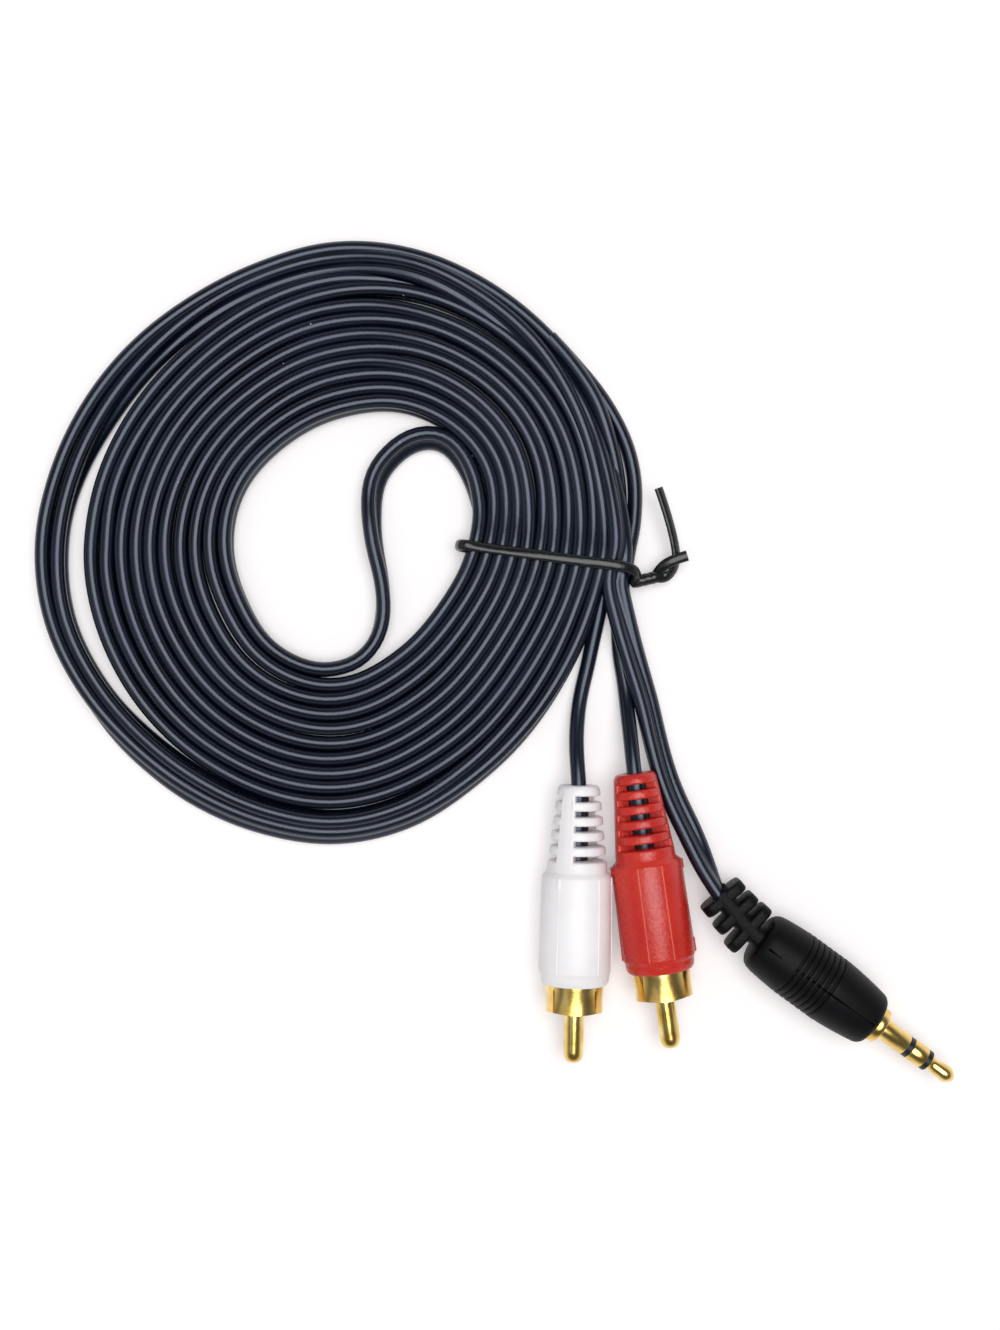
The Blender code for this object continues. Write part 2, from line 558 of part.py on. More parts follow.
def make_jack(parts, cutters, root, materials):
    """3.5 mm plug: moulded grip, sleeve, ring and tip contacts and their insulators."""
    turn = (0.0, math.radians(90.0), math.radians(JACK_HEADING + 180.0))
    axis = add_empty("jack_axis", parts, (*JACK_START, JACK_BODY_RADIUS), turn, root)
    body = turned("jack_overmould", jack_body_profile(), parts, axis, materials["rubber"], TURN_SEGMENTS)
    for form in make_jack_relief(cutters, axis):
        boolean(body, form, "UNION")

    collar_back = JACK_BODY_FRONT + GAP
    shaft = collar_back + JACK_COLLAR_LENGTH
    sleeve_front = shaft + SLEEVE_LENGTH
    ring_back = sleeve_front + INSULATOR_RING + 2.0 * LAYER_GAP
    ring_front = ring_back + RING_LENGTH
    tip_back = ring_front + INSULATOR_RING + 2.0 * LAYER_GAP
    tip_length = shaft + JACK_SHAFT_LENGTH - tip_back
    insulator_radius = JACK_SHAFT_RADIUS - LAYER_GAP / 4.0

    front_inner = ROD_RADIUS + LAYER_GAP
    front_outer = front_inner + LAYER_WALL
    ring_inner = front_outer + LAYER_GAP
    ring_outer = ring_inner + LAYER_WALL
    rear_inner = ring_outer + LAYER_GAP
    rear_outer = rear_inner + LAYER_WALL
    sleeve_inner = rear_outer + LAYER_GAP
    rear_tail = SLEEVE_TAIL_START - TAIL_STAGGER
    ring_tail = rear_tail - TAIL_STAGGER
    front_tail = ring_tail - TAIL_STAGGER
    rod_tail = front_tail - TAIL_STAGGER

    turned("jack_sleeve_contact", [
        (SLEEVE_TAIL_START, SLEEVE_TAIL_RADIUS),
        (collar_back, SLEEVE_TAIL_RADIUS),
        (collar_back, JACK_COLLAR_RADIUS),
        (shaft, JACK_COLLAR_RADIUS),
        (shaft, JACK_SHAFT_RADIUS),
        (sleeve_front, JACK_SHAFT_RADIUS),
        (sleeve_front, sleeve_inner),
        (SLEEVE_TAIL_START, sleeve_inner),
    ], parts, axis, materials["gold"], SHAFT_SEGMENTS)
    turned("jack_rear_insulator", [
        (rear_tail, rear_outer),
        (sleeve_front + LAYER_GAP, rear_outer),
        (sleeve_front + LAYER_GAP, insulator_radius),
        (ring_back - LAYER_GAP, insulator_radius),
        (ring_back - LAYER_GAP, rear_inner),
        (rear_tail, rear_inner),
    ], parts, axis, materials["black"], SHAFT_SEGMENTS)
    turned("jack_ring_contact", [
        (ring_tail, ring_outer),
        (ring_back, ring_outer),
        (ring_back, JACK_SHAFT_RADIUS),
        (ring_front, JACK_SHAFT_RADIUS),
        (ring_front, ring_inner),
        (ring_tail, ring_inner),
    ], parts, axis, materials["gold"], SHAFT_SEGMENTS)
    turned("jack_front_insulator", [
        (front_tail, front_outer),
        (ring_front + LAYER_GAP, front_outer),
        (ring_front + LAYER_GAP, insulator_radius),
        (tip_back - LAYER_GAP, insulator_radius),
        (tip_back - LAYER_GAP, front_inner),
        (front_tail, front_inner),
    ], parts, axis, materials["black"], SHAFT_SEGMENTS)
    form_length = TIP_FORM[-1][0]
    tip = [(tip_back + s / form_length * tip_length, r * MM) for s, r in TIP_FORM]
    turned("jack_tip_contact", [(rod_tail, 0.0), (rod_tail, ROD_RADIUS), (tip_back, ROD_RADIUS)] + tip,
           parts, axis, materials["gold"], SHAFT_SEGMENTS)

    wire_back = JACK_CAVITY_START + GAP
    turned("jack_tip_wire", [
        (wire_back, 0.0),
        (wire_back, WIRE_RADIUS),
        (rod_tail - GAP, WIRE_RADIUS),
        (rod_tail - GAP, 0.0),
    ], parts, axis, materials["copper"], FINE_SEGMENTS)
    beside_ring = ring_outer + GAP + WIRE_RADIUS
    ring_wire = [Vector((0.0, beside_ring, -wire_back)),
                 Vector((0.0, beside_ring, -(ring_tail + TAIL_STAGGER - GAP)))]
    tube("jack_ring_wire", ring_wire, 2.0 * WIRE_RADIUS, parts, axis, materials["copper"])
    beside_sleeve = SLEEVE_TAIL_RADIUS + GAP + WIRE_RADIUS
    ground_wire = [Vector((0.0, -beside_sleeve, -wire_back)),
                   Vector((0.0, -beside_sleeve, -(SLEEVE_TAIL_START + 2.0 * TAIL_STAGGER)))]
    tube("jack_ground_wire", ground_wire, 2.0 * WIRE_RADIUS, parts, axis, materials["copper"])
    return axis


def tie_stations():
    """Middle line of the tie with the direction of its thin side at each point."""
    left, right = Vector(TIE_LEFT) * MM, Vector(TIE_RIGHT) * MM
    run = (right - left).normalized()
    up = Vector((0.0, 0.0, 1.0))
    half = TIE_THICKNESS / 2.0
    top = TIE_BUNDLE_TOP + half

    def level(distance, height):
        spot = left + run * distance
        return Vector((spot.x, spot.y, height))

    length = (right - left).length
    side = Vector((run.x, run.y, 0.0))
    start, end = Vector(TIE_TWIST_START) * MM, Vector(TIE_TWIST_END) * MM
    along = (end - start).normalized()
    level_side = along.cross(up).normalized()
    lift = level_side.cross(along)
    twist_upper, twist_lower = [], []
    offset = half + GAP / 2.0
    steps = 12
    for i in range(steps + 1):
        angle = 2.0 * math.pi * TIE_TWIST_TURNS * i / steps
        thin = lift * math.cos(angle) + level_side * math.sin(angle)
        centre = start.lerp(end, i / steps)
        twist_upper.append((centre + thin * offset, thin))
        twist_lower.append((centre - thin * offset, -thin))

    over = []
    over.append((level(length - 0.2 * MM, top - 1.0 * MM), (up + side).normalized()))
    over.append((level(length - TIE_PLATEAU * MM, top), up))
    for share in (0.75, 0.5, 0.25):
        over.append((level(length * share, top), up))
    over.append((level(1.2 * MM, top), up))
    radius = top / 2.0
    for i in range(1, 6):
        angle = math.pi * i / 6.0
        thin = up * math.cos(angle) - side * math.sin(angle)
        centre = level(1.2 * MM, radius)
        reach = up * math.cos(angle) * (radius - half) - side * math.sin(angle) * 1.2 * MM
        over.append((centre + up * half * 0.5 * (1.0 + math.cos(angle)) + reach, thin))
    base = half + TIE_LIFT
    under = [(level(1.2 * MM, base), -up)]
    for share in (0.25, 0.5, 0.75):
        under.append((level(length * share, base), -up))
    under.append((level(length - TIE_PLATEAU * MM, base), -up))
    under.append((level(length - 0.2 * MM, base + 0.9 * MM), (side - up).normalized()))

    thin_upper = twist_upper[-1][1]
    thin_lower = twist_lower[-1][1]
    short = [(Vector(point) * MM, thin_upper) for point in TIE_SHORT_END]
    long = [(Vector(point) * MM, thin_lower) for point in TIE_LONG_END]
    return short[::-1] + twist_upper[::-1] + over + under + twist_lower + long


def smooth_stations(stations):
    """Add stations between the given ones, on a smooth curve through them."""
    padded = [stations[0]] + stations + [stations[-1]]
    made = []
    for a, b, c, d in zip(padded, padded[1:], padded[2:], padded[3:]):
        for k in range(TIE_SMOOTHING):
            share = k / TIE_SMOOTHING
            made.append((catmull(a[0], b[0], c[0], d[0], share), b[1].slerp(c[1], share)))
    made.append(stations[-1])
    return made


def make_tie(parts, root, material):
    """A flat band swept along its stations, with rounded long edges."""
    stations = smooth_stations(tie_stations())
    section = [(-0.5, 0.0), (-0.38, 0.5), (0.38, 0.5), (0.5, 0.0), (0.38, -0.5), (-0.38, -0.5)]
    shape = bmesh.new()
    loops = []
    for i, (centre, thin) in enumerate(stations):
        ahead = stations[min(i + 1, len(stations) - 1)][0] - stations[max(i - 1, 0)][0]
        along = ahead.normalized()
        wide = along.cross(thin).normalized()
        flat = wide.cross(along).normalized()
        loop = []
        for across, through in section:
            loop.append(shape.verts.new(centre + wide * across * TIE_WIDTH + flat * through * TIE_THICKNESS))
        loops.append(loop)
    count = len(section)
    for a, b in zip(loops, loops[1:]):
        for k in range(count):
            shape.faces.new((a[k], a[(k + 1) % count], b[(k + 1) % count], b[k]))
    shape.faces.new(loops[0][::-1])
    shape.faces.new(loops[-1])
    bmesh.ops.recalc_face_normals(shape, faces=shape.faces)
    mesh = bpy.data.meshes.new("twist_tie")
    shape.to_mesh(mesh)
    shape.free()
    add_object("twist_tie", mesh, parts, root, material)


def shade(parts):
    """Smooth shading on round pieces, with their real edges kept sharp."""
    for obj in parts.objects:
        if obj.type == "MESH":
            obj.data.shade_smooth()
            obj.data.set_sharp_from_angle(angle=math.radians(35.0))


def main():
    clear_scene()
    parts = new_collection("stereo_audio_cable")
    cutters = new_collection("cutters")
    materials = {
        "cord": new_material("black_vinyl_cord", (0.012, 0.014, 0.022), 0.35),
        "white": new_material("white_vinyl", (0.85, 0.83, 0.84), 0.35),
        "red": new_material("red_vinyl", (0.58, 0.03, 0.02), 0.4),
        "rubber": new_material("black_moulded_vinyl", (0.01, 0.01, 0.012), 0.55),
        "gold": new_material("gold_plate", (0.85, 0.6, 0.2), 0.2, 1.0),
        "cream": new_material("cream_insulator", (0.75, 0.72, 0.65), 0.5),
        "black": new_material("black_insulator", (0.01, 0.01, 0.01), 0.4),
        "copper": new_material("tinned_copper", (0.7, 0.5, 0.4), 0.35, 1.0),
        "tie": new_material("black_tie_plastic", (0.01, 0.01, 0.012), 0.3),
    }
    origin = Vector((*ORIGIN_FROM_COIL, 0.0))
    root = add_empty("cable_root", parts, -origin, (0.0, 0.0, 0.0))
    make_coil(parts, cutters, root, materials["cord"])
    make_fold(parts, root, materials["cord"])
    make_jack_tail(parts, root, materials["cord"])
    make_lead("white_lead", WHITE_LEAD_ROUTE, WHITE_PLUG_START, WHITE_PLUG_HEADING,
              parts, root, materials["cord"])
    make_lead("red_lead", RED_LEAD_ROUTE, RED_PLUG_START, RED_PLUG_HEADING,
              parts, root, materials["cord"])
    make_phono_plug("white", WHITE_PLUG_START, WHITE_PLUG_HEADING, parts, cutters, root, materials)
    make_phono_plug("red", RED_PLUG_START, RED_PLUG_HEADING, parts, cutters, root, materials)
    make_jack(parts, cutters, root, materials)
    make_tie(parts, root, materials["tie"])
    shade(parts)


main()
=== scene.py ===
# %% [markdown]
# # A coiled stereo audio cable
# A flat two-core cord is wound into a coil that a twist tie holds, with a small jack
# plug on one end and a white and a red phono plug on the other. Its solids already say
# where each piece lies. This lesson lays the real cord, turns the plugs with their ribs
# and windows, and gives each piece its finish.

import math

import bmesh
import bpy
from mathutils import Matrix, Vector


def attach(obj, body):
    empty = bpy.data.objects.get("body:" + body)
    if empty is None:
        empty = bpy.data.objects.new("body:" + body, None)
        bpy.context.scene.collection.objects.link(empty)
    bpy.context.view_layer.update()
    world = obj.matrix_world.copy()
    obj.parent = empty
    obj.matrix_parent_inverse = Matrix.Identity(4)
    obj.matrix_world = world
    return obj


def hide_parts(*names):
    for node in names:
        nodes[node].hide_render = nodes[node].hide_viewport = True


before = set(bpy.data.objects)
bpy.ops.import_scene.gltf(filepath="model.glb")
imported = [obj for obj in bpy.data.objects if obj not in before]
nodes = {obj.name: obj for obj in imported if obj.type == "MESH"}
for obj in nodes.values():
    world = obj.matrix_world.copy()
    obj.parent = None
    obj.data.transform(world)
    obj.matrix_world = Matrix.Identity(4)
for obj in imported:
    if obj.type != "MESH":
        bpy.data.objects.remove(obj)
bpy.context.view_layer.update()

# %% [markdown]
# ## Measures
# A cable is easiest to lay out in millimetres from the middle of its coil, so `place`
# turns such a point into metres in the frame. The coil was measured by its ridges, which
# lie 4.45 mm above the table. A point at another height looks moved away from or towards
# the point under the camera, and `beneath` undoes it.

# %% Millimetres from the coil's middle
MM = 0.001
COIL_MIDDLE = Vector((-59.29, 38.33))
CAMERA_FOOT = Vector((26.51, -19.28))
CAMERA_HEIGHT = 260.0
RIDGE_HEIGHT = 4.45
RIDGE_PX_PER_MM = 6.225
PX = 1 / RIDGE_PX_PER_MM


def linked(name, data):
    """A new object with this data, put into the scene."""
    made = bpy.data.objects.new(name, data)
    bpy.context.scene.collection.objects.link(made)
    return made


def place(x, y, z):
    """A point in millimetres from the coil's middle, in metres in the frame."""
    return Vector((COIL_MIDDLE.x + x, COIL_MIDDLE.y + y, z)) * MM


def beneath(x, y, z):
    """Where a point seen at x, y on the plane of the ridges lies if it is z high."""
    share = (CAMERA_HEIGHT - z) / (CAMERA_HEIGHT - RIDGE_HEIGHT)
    return CAMERA_FOOT + (Vector((x, y)) - CAMERA_FOOT) * share


print("the coil's middle is at", place(0, 0, 0))

# %% [markdown]
# ## The camera
# The cable is seen from straight above, so the camera isn't turned at all: an unturned
# camera looks along -Z with +Y up the picture. The lens follows from the scale, 6.118
# pixels a millimetre.

# %% A camera straight above
PICTURE_HEIGHT_PX = 1330
SCALE_PX_PER_MM = 6.118
SENSOR_MM = 36.0

camera_data = bpy.data.cameras.new("overhead_camera")
camera_data.sensor_fit = "VERTICAL"
camera_data.sensor_height = SENSOR_MM
camera_data.lens = SCALE_PX_PER_MM * CAMERA_HEIGHT * SENSOR_MM / PICTURE_HEIGHT_PX
camera_data.clip_start = 0.01
camera = linked("overhead_camera", camera_data)
camera.location = place(CAMERA_FOOT.x, CAMERA_FOOT.y, CAMERA_HEIGHT)
bpy.context.scene.camera = camera
print(f"lens {camera_data.lens:.2f} mm, at {camera.location}")

# %% [markdown]
# ## The route of the cord
# A maker winds such a cord from its middle: it is folded in an S, and both arms then
# go round the S side by side. So each arm is a spiral that gains one pitch every half
# turn. The coil isn't round, because it was squeezed where the tie holds it, so its inner
# radius and pitch are given every 30 degrees, clockwise from the left.

# %% Spiral of the two arms
INNER_RADIUS = (17.98, 18.14, 18.72, 21.07, 24.68, 25.96, 22.6, 19.94, 19.9, 21.32, 20.5, 18.45)
PITCH = (2.38, 2.23, 2.23, 2.31, 2.12, 1.99, 2.09, 2.11, 2.28, 2.37, 2.32, 2.41)


def curve_through(a, b, c, d, t):
    """Catmull-Rom: the value at t from b to c, with a and d as the neighbours."""
    slope, bend = c - a, 2 * a - 5 * b + 4 * c - d
    return 0.5 * (2 * b + slope * t + bend * t * t + (3 * b - a - 3 * c + d) * t**3)


def four_about(items, k):
    """Items k and k + 1 with a neighbour on each side. An end is its own neighbour."""
    return [items[min(max(k + j, 0), len(items) - 1)] for j in (-1, 0, 1, 2)]


def round_table(table, degrees):
    """A table of even steps round a circle, read smoothly at an angle."""
    step = 360 / len(table)
    at, t = divmod((degrees % 360) / step, 1)
    a, b, c, d = (table[(int(at) + k) % len(table)] for k in (-1, 0, 1, 2))
    return curve_through(a, b, c, d, t)


def along(pairs, at):
    """A list of (place, value, value...), read smoothly between its places."""
    if at <= pairs[0][0]:
        return pairs[0][1:]
    if at >= pairs[-1][0]:
        return pairs[-1][1:]
    k = next(i for i in range(len(pairs) - 1) if pairs[i + 1][0] >= at)
    t = (at - pairs[k][0]) / (pairs[k + 1][0] - pairs[k][0])
    t = t * t * (3 - 2 * t)
    return tuple(a + (b - a) * t for a, b in zip(pairs[k][1:], pairs[k + 1][1:]))


def through(pairs, at):
    """One measured value, read off a smooth curve that passes through every place."""
    if at >= pairs[-1][0]:
        return pairs[-1][1]
    k = next(i for i in range(len(pairs) - 1) if pairs[i + 1][0] >= at)
    before, (x0, y0), (x1, y1), after = four_about(pairs, k)
    rise_0 = (y1 - before[1]) / (x1 - before[0]) * (x1 - x0)
    rise_1 = (after[1] - y0) / (after[0] - x0) * (x1 - x0)
    t = (at - x0) / (x1 - x0)
    return y0 + (y1 - y0) * t * t * (3 - 2 * t) + rise_0 * t * (1 - t) ** 2 - rise_1 * t * t * (1 - t)


def spiral_radius(turned, pitches):
    return round_table(INNER_RADIUS, turned) + round_table(PITCH, turned) * pitches


print("inner turn", spiral_radius(0, 0), "mm, tenth", spiral_radius(0, 10), "mm")

# %% [markdown]
# The outermost turns leave the even spiral: they stand off from the rest, cross each
# other and lean. So the radius of their upper ridge is listed as it was measured, in
# pixels that `PX` turns into millimetres: for arm B every 15 degrees and at two places
# between, for arm A against the turned angle. Two more lists say how many degrees the
# cord leans outwards there from standing on its edge, and how many millimetres it rises.

# %% Outermost turns
OUTER_FROM = 1440
OUTER_STEP = 15
OUTER_RADII_B = [
    229.2, 229.2, 226.7, 226.7, 232.5, 242.5, 254.9, 264.7, 269.5, 271.5, 270.0, 264.0,
    257.5, 248.0, 245.8, 249.2, 257.5, 269.5, 277.0, 275.0, 272.5, 273.0, 277.0, 281.5,
    278.8, 273.3, 269.5, 269.2, 273.0, 279.8, 289.0, 294.2, 290.0, 285.5, 278.0, 271.5,
    269.5, 262.0, 259.6, 262.6, 269.5, 280.8, 287.5, 285.8, 284.2, 285.0, 290.0, 295.0,
    294.5, 288.8, 284.5, 282.3, 282.3, 287.8, 297.6, 301.0, 299.8, 298.6, 298.6,
]
EXTRA_RADII_B = [(1627, 253.3), (1987, 265.8)]
OUTER_ARM_B = [(OUTER_FROM + OUTER_STEP * k, radius) for k, radius in enumerate(OUTER_RADII_B)]
OUTER_ARM_B = sorted(OUTER_ARM_B + EXTRA_RADII_B)
OUTER_ARM_A = [
    (1440, 245.0), (1455, 242.5), (1470, 240.5), (1485, 241.2), (1500, 245.8), (1515, 256.0),
    (1530, 267.0), (1538, 270.0), (1547, 273.5), (1555, 276.5), (1563, 280.5), (1570, 285.0),
    (1577, 286.8), (1590, 285.5), (1605, 281.1), (1616, 281.1), (1622, 281.5), (1626, 273.0),
]
LEAN_AND_LIFT_B = [
    (1665, 0, 0), (1690, 14, 0.6), (1745, 14, 0.6), (1770, 0, 0), (1803, 0, 0), (1838, 40, 0),
    (1862, 52, 0.1), (1885, 50, 0.5), (1912, 60, 2.1), (1925, 58, 2.1), (1943, 30, 1.2),
    (1960, 12, 0.5), (1980, 0, 0), (2005, -8, 0), (2035, -16, 0), (2060, -28, 0),
    (2100, -36, 0), (2112, -30, 0), (2138, 0, 0), (2310, 0, 0),
]
LEAN_AND_LIFT_A = [
    (1480, 0, 0), (1515, -30, 0), (1530, -45, 0), (1540, -80, 0), (1568, -84, 0), (1580, -62, 0),
    (1592, -36, 0.1), (1604, -34, 1.0), (1614, -40, 1.9), (1620, -46, 2.3), (1624, -66, 2.3),
    (1626, -80, 2.3),
]
print(f"{len(OUTER_ARM_B)} and {len(OUTER_ARM_A)} measured stations")

# %% [markdown]
# The tie is tight, so every turn that it goes round rides up on its lower run. Where the
# coil is widest the turns are too many for one layer, and every second one has slipped
# upwards between the two beside it. Slow waves that differ from turn to turn keep the
# rest from looking ruled.

# %% Tie hump and slipped turns
TIE_FROM = Vector((20.0, 0.0))
TIE_TO = Vector((47.6, -3.75))
TIE_LIFT, TIE_LIFT_REACH = 1.0, 3.2
CORE_RADIUS = 1.18
CORE_OFFSET = 1.1
SLIP_AFTER, SLIP_START, SLIP_END = 300, 105, 172
SLIP_IN, SLIP_UP = 0.35, 0.7
SWAY_DEGREES, WANDER, RIPPLE = 7, 0.09, 0.12


def tie_lift(x, y):
    """How high, in mm, the lower run of the tie lifts what lies on it."""
    run = (TIE_TO - TIE_FROM).normalized()
    off = Vector((x, y)) - TIE_FROM
    aside = abs(off.x * run.y - off.y * run.x)
    return TIE_LIFT * math.exp(-((aside / TIE_LIFT_REACH) ** 2)) if x > 0 else 0.0


def bump(degrees, start, end, ease=22):
    """1 between two angles and 0 outside them, eased at both ends."""
    rise = min(max((degrees - start) / ease + 0.5, 0), 1)
    fall = min(max((end - degrees) / ease + 0.5, 0), 1)
    return (3 * rise**2 - 2 * rise**3) * (3 * fall**2 - 2 * fall**3)


def arm_station(turned, arm):
    """x, y of the upper ridge, its lean outwards in degrees, and its lift, all in mm."""
    first = arm == "A"
    lean, lift = along(LEAN_AND_LIFT_A if first else LEAN_AND_LIFT_B, turned)
    if turned >= OUTER_FROM:
        radius = through(OUTER_ARM_A if first else OUTER_ARM_B, turned) * PX
    else:
        radius = spiral_radius(turned, turned / 180 + (1 if first else 0))
        lean += SWAY_DEGREES * math.sin(math.radians(turned * 0.83 + (40 if first else 0)))
        if first and turned > SLIP_AFTER:
            slipped = bump(turned % 360, SLIP_START, SLIP_END)
            radius -= SLIP_IN * slipped
            lift += SLIP_UP * slipped
        radius += WANDER * math.sin(math.radians(turned * 2.6))
        lift += RIPPLE * (1 + math.sin(math.radians(turned * 1.37 + (90 if first else 0))))
    at = math.radians(turned)
    return -radius * math.cos(at), radius * math.sin(at), lean, lift


print("arm B begins at", arm_station(0, "B"))

# %% [markdown]
# The S in the middle is listed by its ridge too, as x, y and the lean, and the tail to
# the jack by its middle, as x, y, z and the lean.

# %% Stations of the S and the tail
FOLD_RIDGE = [
    (-0.80, -20.02, 0), (0.63, -19.81, 0), (2.07, -19.44, 0), (3.50, -18.73, 0), (4.93, -17.59, 2),
    (5.94, -16.43, 4), (6.80, -15.0, 6), (7.52, -13.14, 8), (7.81, -10.84, 8), (7.81, -9.41, 6),
    (7.29, -5.11, 0), (6.10, -0.64, -8), (5.46, 3.34, -16), (5.22, 6.43, -24), (5.35, 9.49, -30),
    (6.75, 13.17, -36), (10.44, 16.87, -38), (11.98, 17.69, -38), (15.05, 18.31, -38),
    (17.61, 17.80, -36), (19.36, 16.56, -34), (20.69, 14.71, -30), (21.91, 12.47, -24),
    (22.73, 9.91, -16), (23.13, 7.34, -8),
]
TAIL_MIDDLE = [
    (44.8, -5.1, 3.6, -82), (45.6, -9.3, 3.75, -76), (47.1, -15.1, 3.3, -66), (48.7, -20.4, 2.7, -58),
    (50.2, -25.3, 2.4, -54), (51.4, -30.6, 2.5, -53), (52.9, -36.4, 3.0, -55), (54.7, -41.3, 3.7, -58),
    (57.0, -46.1, 4.5, -58), (59.2, -51.2, 5.1, -40), (61.2, -55.5, 5.5, -6),
    (63.6, -59.2, 5.5, 0), (66.0, -61.5, 5.5, 0),
]
print(f"{len(FOLD_RIDGE)} and {len(TAIL_MIDDLE)} stations")

# %% [markdown]
# The middle of the flat cord lies half a core pitch below its ridge, down its own width.
# The whole cord is one list: from the split, through arm B, the S and arm A, to the
# relief of the jack.

# %% Route of the twin cord
ARM_B_ANGLES = range(2300, -86, -4)
ARM_A_ANGLES = range(-193, 1627, 4)
SEEN_ABOVE_CORE = 0.8
LYING_ON_TOP = 11
FULL_LIFT = 1.5


def twin_middles():
    """Every station of the flat cord's middle: x, y, z in mm and its lean to the right."""
    ridge = [arm_station(turned, "B") for turned in ARM_B_ANGLES]
    ridge += [(x, y, lean, 0) for x, y, lean in FOLD_RIDGE]
    for turned in ARM_A_ANGLES:
        x, y, lean, lift = arm_station(turned, "A")
        ridge.append((x, y, -lean, lift))
    middles = []
    for k, (x, y, lean, lift) in enumerate(ridge):
        before, _, after, _ = four_about(ridge, k)
        going = Vector((after[0] - before[0], after[1] - before[1])).normalized()
        right = Vector((going.y, -going.x))
        tip = math.radians(lean)
        height = CORE_RADIUS + CORE_OFFSET * math.cos(tip) + lift + tie_lift(x, y)
        if k >= len(ridge) - LYING_ON_TOP:
            # These lie on other turns already, so the tie doesn't lift them too.
            height -= tie_lift(x, y) * min(1, lift / FULL_LIFT)
        seen = Vector((x, y)) - right * CORE_OFFSET * math.sin(tip)
        under = beneath(seen.x, seen.y, height + CORE_OFFSET * math.cos(tip) + SEEN_ABOVE_CORE)
        middles.append((under.x, under.y, height, lean))
    return middles + [(x, y, z, -lean) for x, y, z, lean in TAIL_MIDDLE]


def evenly(stations, step):
    """The stations on one smooth curve, a step apart. Each is a tuple of numbers."""
    fine = []
    for k in range(len(stations) - 1):
        four = four_about(stations, k)
        parts = max(2, math.ceil(math.dist(four[1][:3], four[2][:3]) / (step / 4)))
        for i in range(parts):
            fine.append(tuple(curve_through(*v, i / parts) for v in zip(*four)))
    fine.append(tuple(stations[-1]))
    even, gone = [fine[0]], 0.0
    for a, b in zip(fine, fine[1:]):
        gone += math.dist(a[:3], b[:3])
        if gone >= step:
            even.append(b)
            gone = 0.0
    even[-1] = fine[-1]
    return even


def softened(stations, rounds):
    """Each station drawn towards the mean of its neighbours, to take out small kinks."""
    for _ in range(rounds):
        threes = zip(stations, stations[1:], stations[2:])
        inner = [tuple((a + 2 * b + c) / 4 for a, b, c in zip(*three)) for three in threes]
        stations = [stations[0], *inner, stations[-1]]
    return stations


def length_of(route):
    """The length in mm of a line through the stations."""
    return sum(math.dist(a[:3], b[:3]) for a, b in zip(route, route[1:]))


twin_route = softened(evenly(twin_middles(), 1.2), 3)
TWIN_LENGTH = length_of(twin_route)
print(f"{len(twin_route)} stations, {TWIN_LENGTH:.0f} mm of twin cord")

# %% [markdown]
# ## Sweeping a cord
# The real cord is extruded: soft PVC is pressed through a die round two wires, and the
# die's shape, two round cores and a web, runs unchanged down its whole length. A curve
# with a bevel object does the same in Blender. `Z_UP` keeps the section upright, each
# point's tilt leans it, and the result is made a mesh, so the die isn't needed any more.

# %% Cord section and sweep
WEB_HALF = 0.76
ARC_DEGREES = range(-38, 219, 16)


def twin_section():
    """The die's outline: an arc round each core, and one point on each side of the web."""
    arc = [math.radians(degrees) for degrees in ARC_DEGREES]
    half = [(CORE_RADIUS * math.cos(a), CORE_OFFSET + CORE_RADIUS * math.sin(a)) for a in arc]
    half.append((-WEB_HALF, 0.0))
    return half + [(-x, -y) for x, y in half]


def round_section(radius, parts=14):
    turns = [math.tau * k / parts for k in range(parts)]
    return [(radius * math.cos(a), radius * math.sin(a)) for a in turns]


def sweep(name, stations, outline):
    """A mesh cord along stations of x, y, z in mm and a lean to the right in degrees."""
    die = bpy.data.curves.new(name + "_die", "CURVE")
    ring = die.splines.new("POLY")
    ring.points.add(len(outline) - 1)
    ring.use_cyclic_u = True
    for point, (x, y) in zip(ring.points, outline):
        point.co = (x * MM, y * MM, 0, 1)
    die_object = linked(name + "_die", die)
    line = bpy.data.curves.new(name + "_line", "CURVE")
    line.dimensions = "3D"
    line.twist_mode = "Z_UP"
    line.bevel_mode = "OBJECT"
    line.bevel_object = die_object
    line.use_fill_caps = True
    spline = line.splines.new("POLY")
    spline.points.add(len(stations) - 1)
    for point, (x, y, z, lean) in zip(spline.points, stations):
        point.co = (*place(x, y, z), 1)
        point.tilt = math.radians(lean)
    drawn = linked(name + "_line", line)
    bpy.context.view_layer.update()
    mesh = bpy.data.meshes.new_from_object(drawn.evaluated_get(bpy.context.evaluated_depsgraph_get()))
    for made in (drawn, die_object):
        bpy.data.objects.remove(made)
    mesh.name = name
    mesh.shade_smooth()
    cord = linked(name, mesh)
    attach(cord, "root")
    return cord


twin_cord = sweep("twin_cord", twin_route, twin_section())
print(len(twin_cord.data.polygons), "faces on the twin cord")

# %% [markdown]
# ## The two cores after the split
# Near the tie the web is torn and the cores go their own ways to the phono plugs. Each
# starts inside the last of the twin cord, so no gap shows.
# Under the coil a core is listed by its angle, the pixels from the coil's middle and
# its height, and after the tie by x, y and z in millimetres.

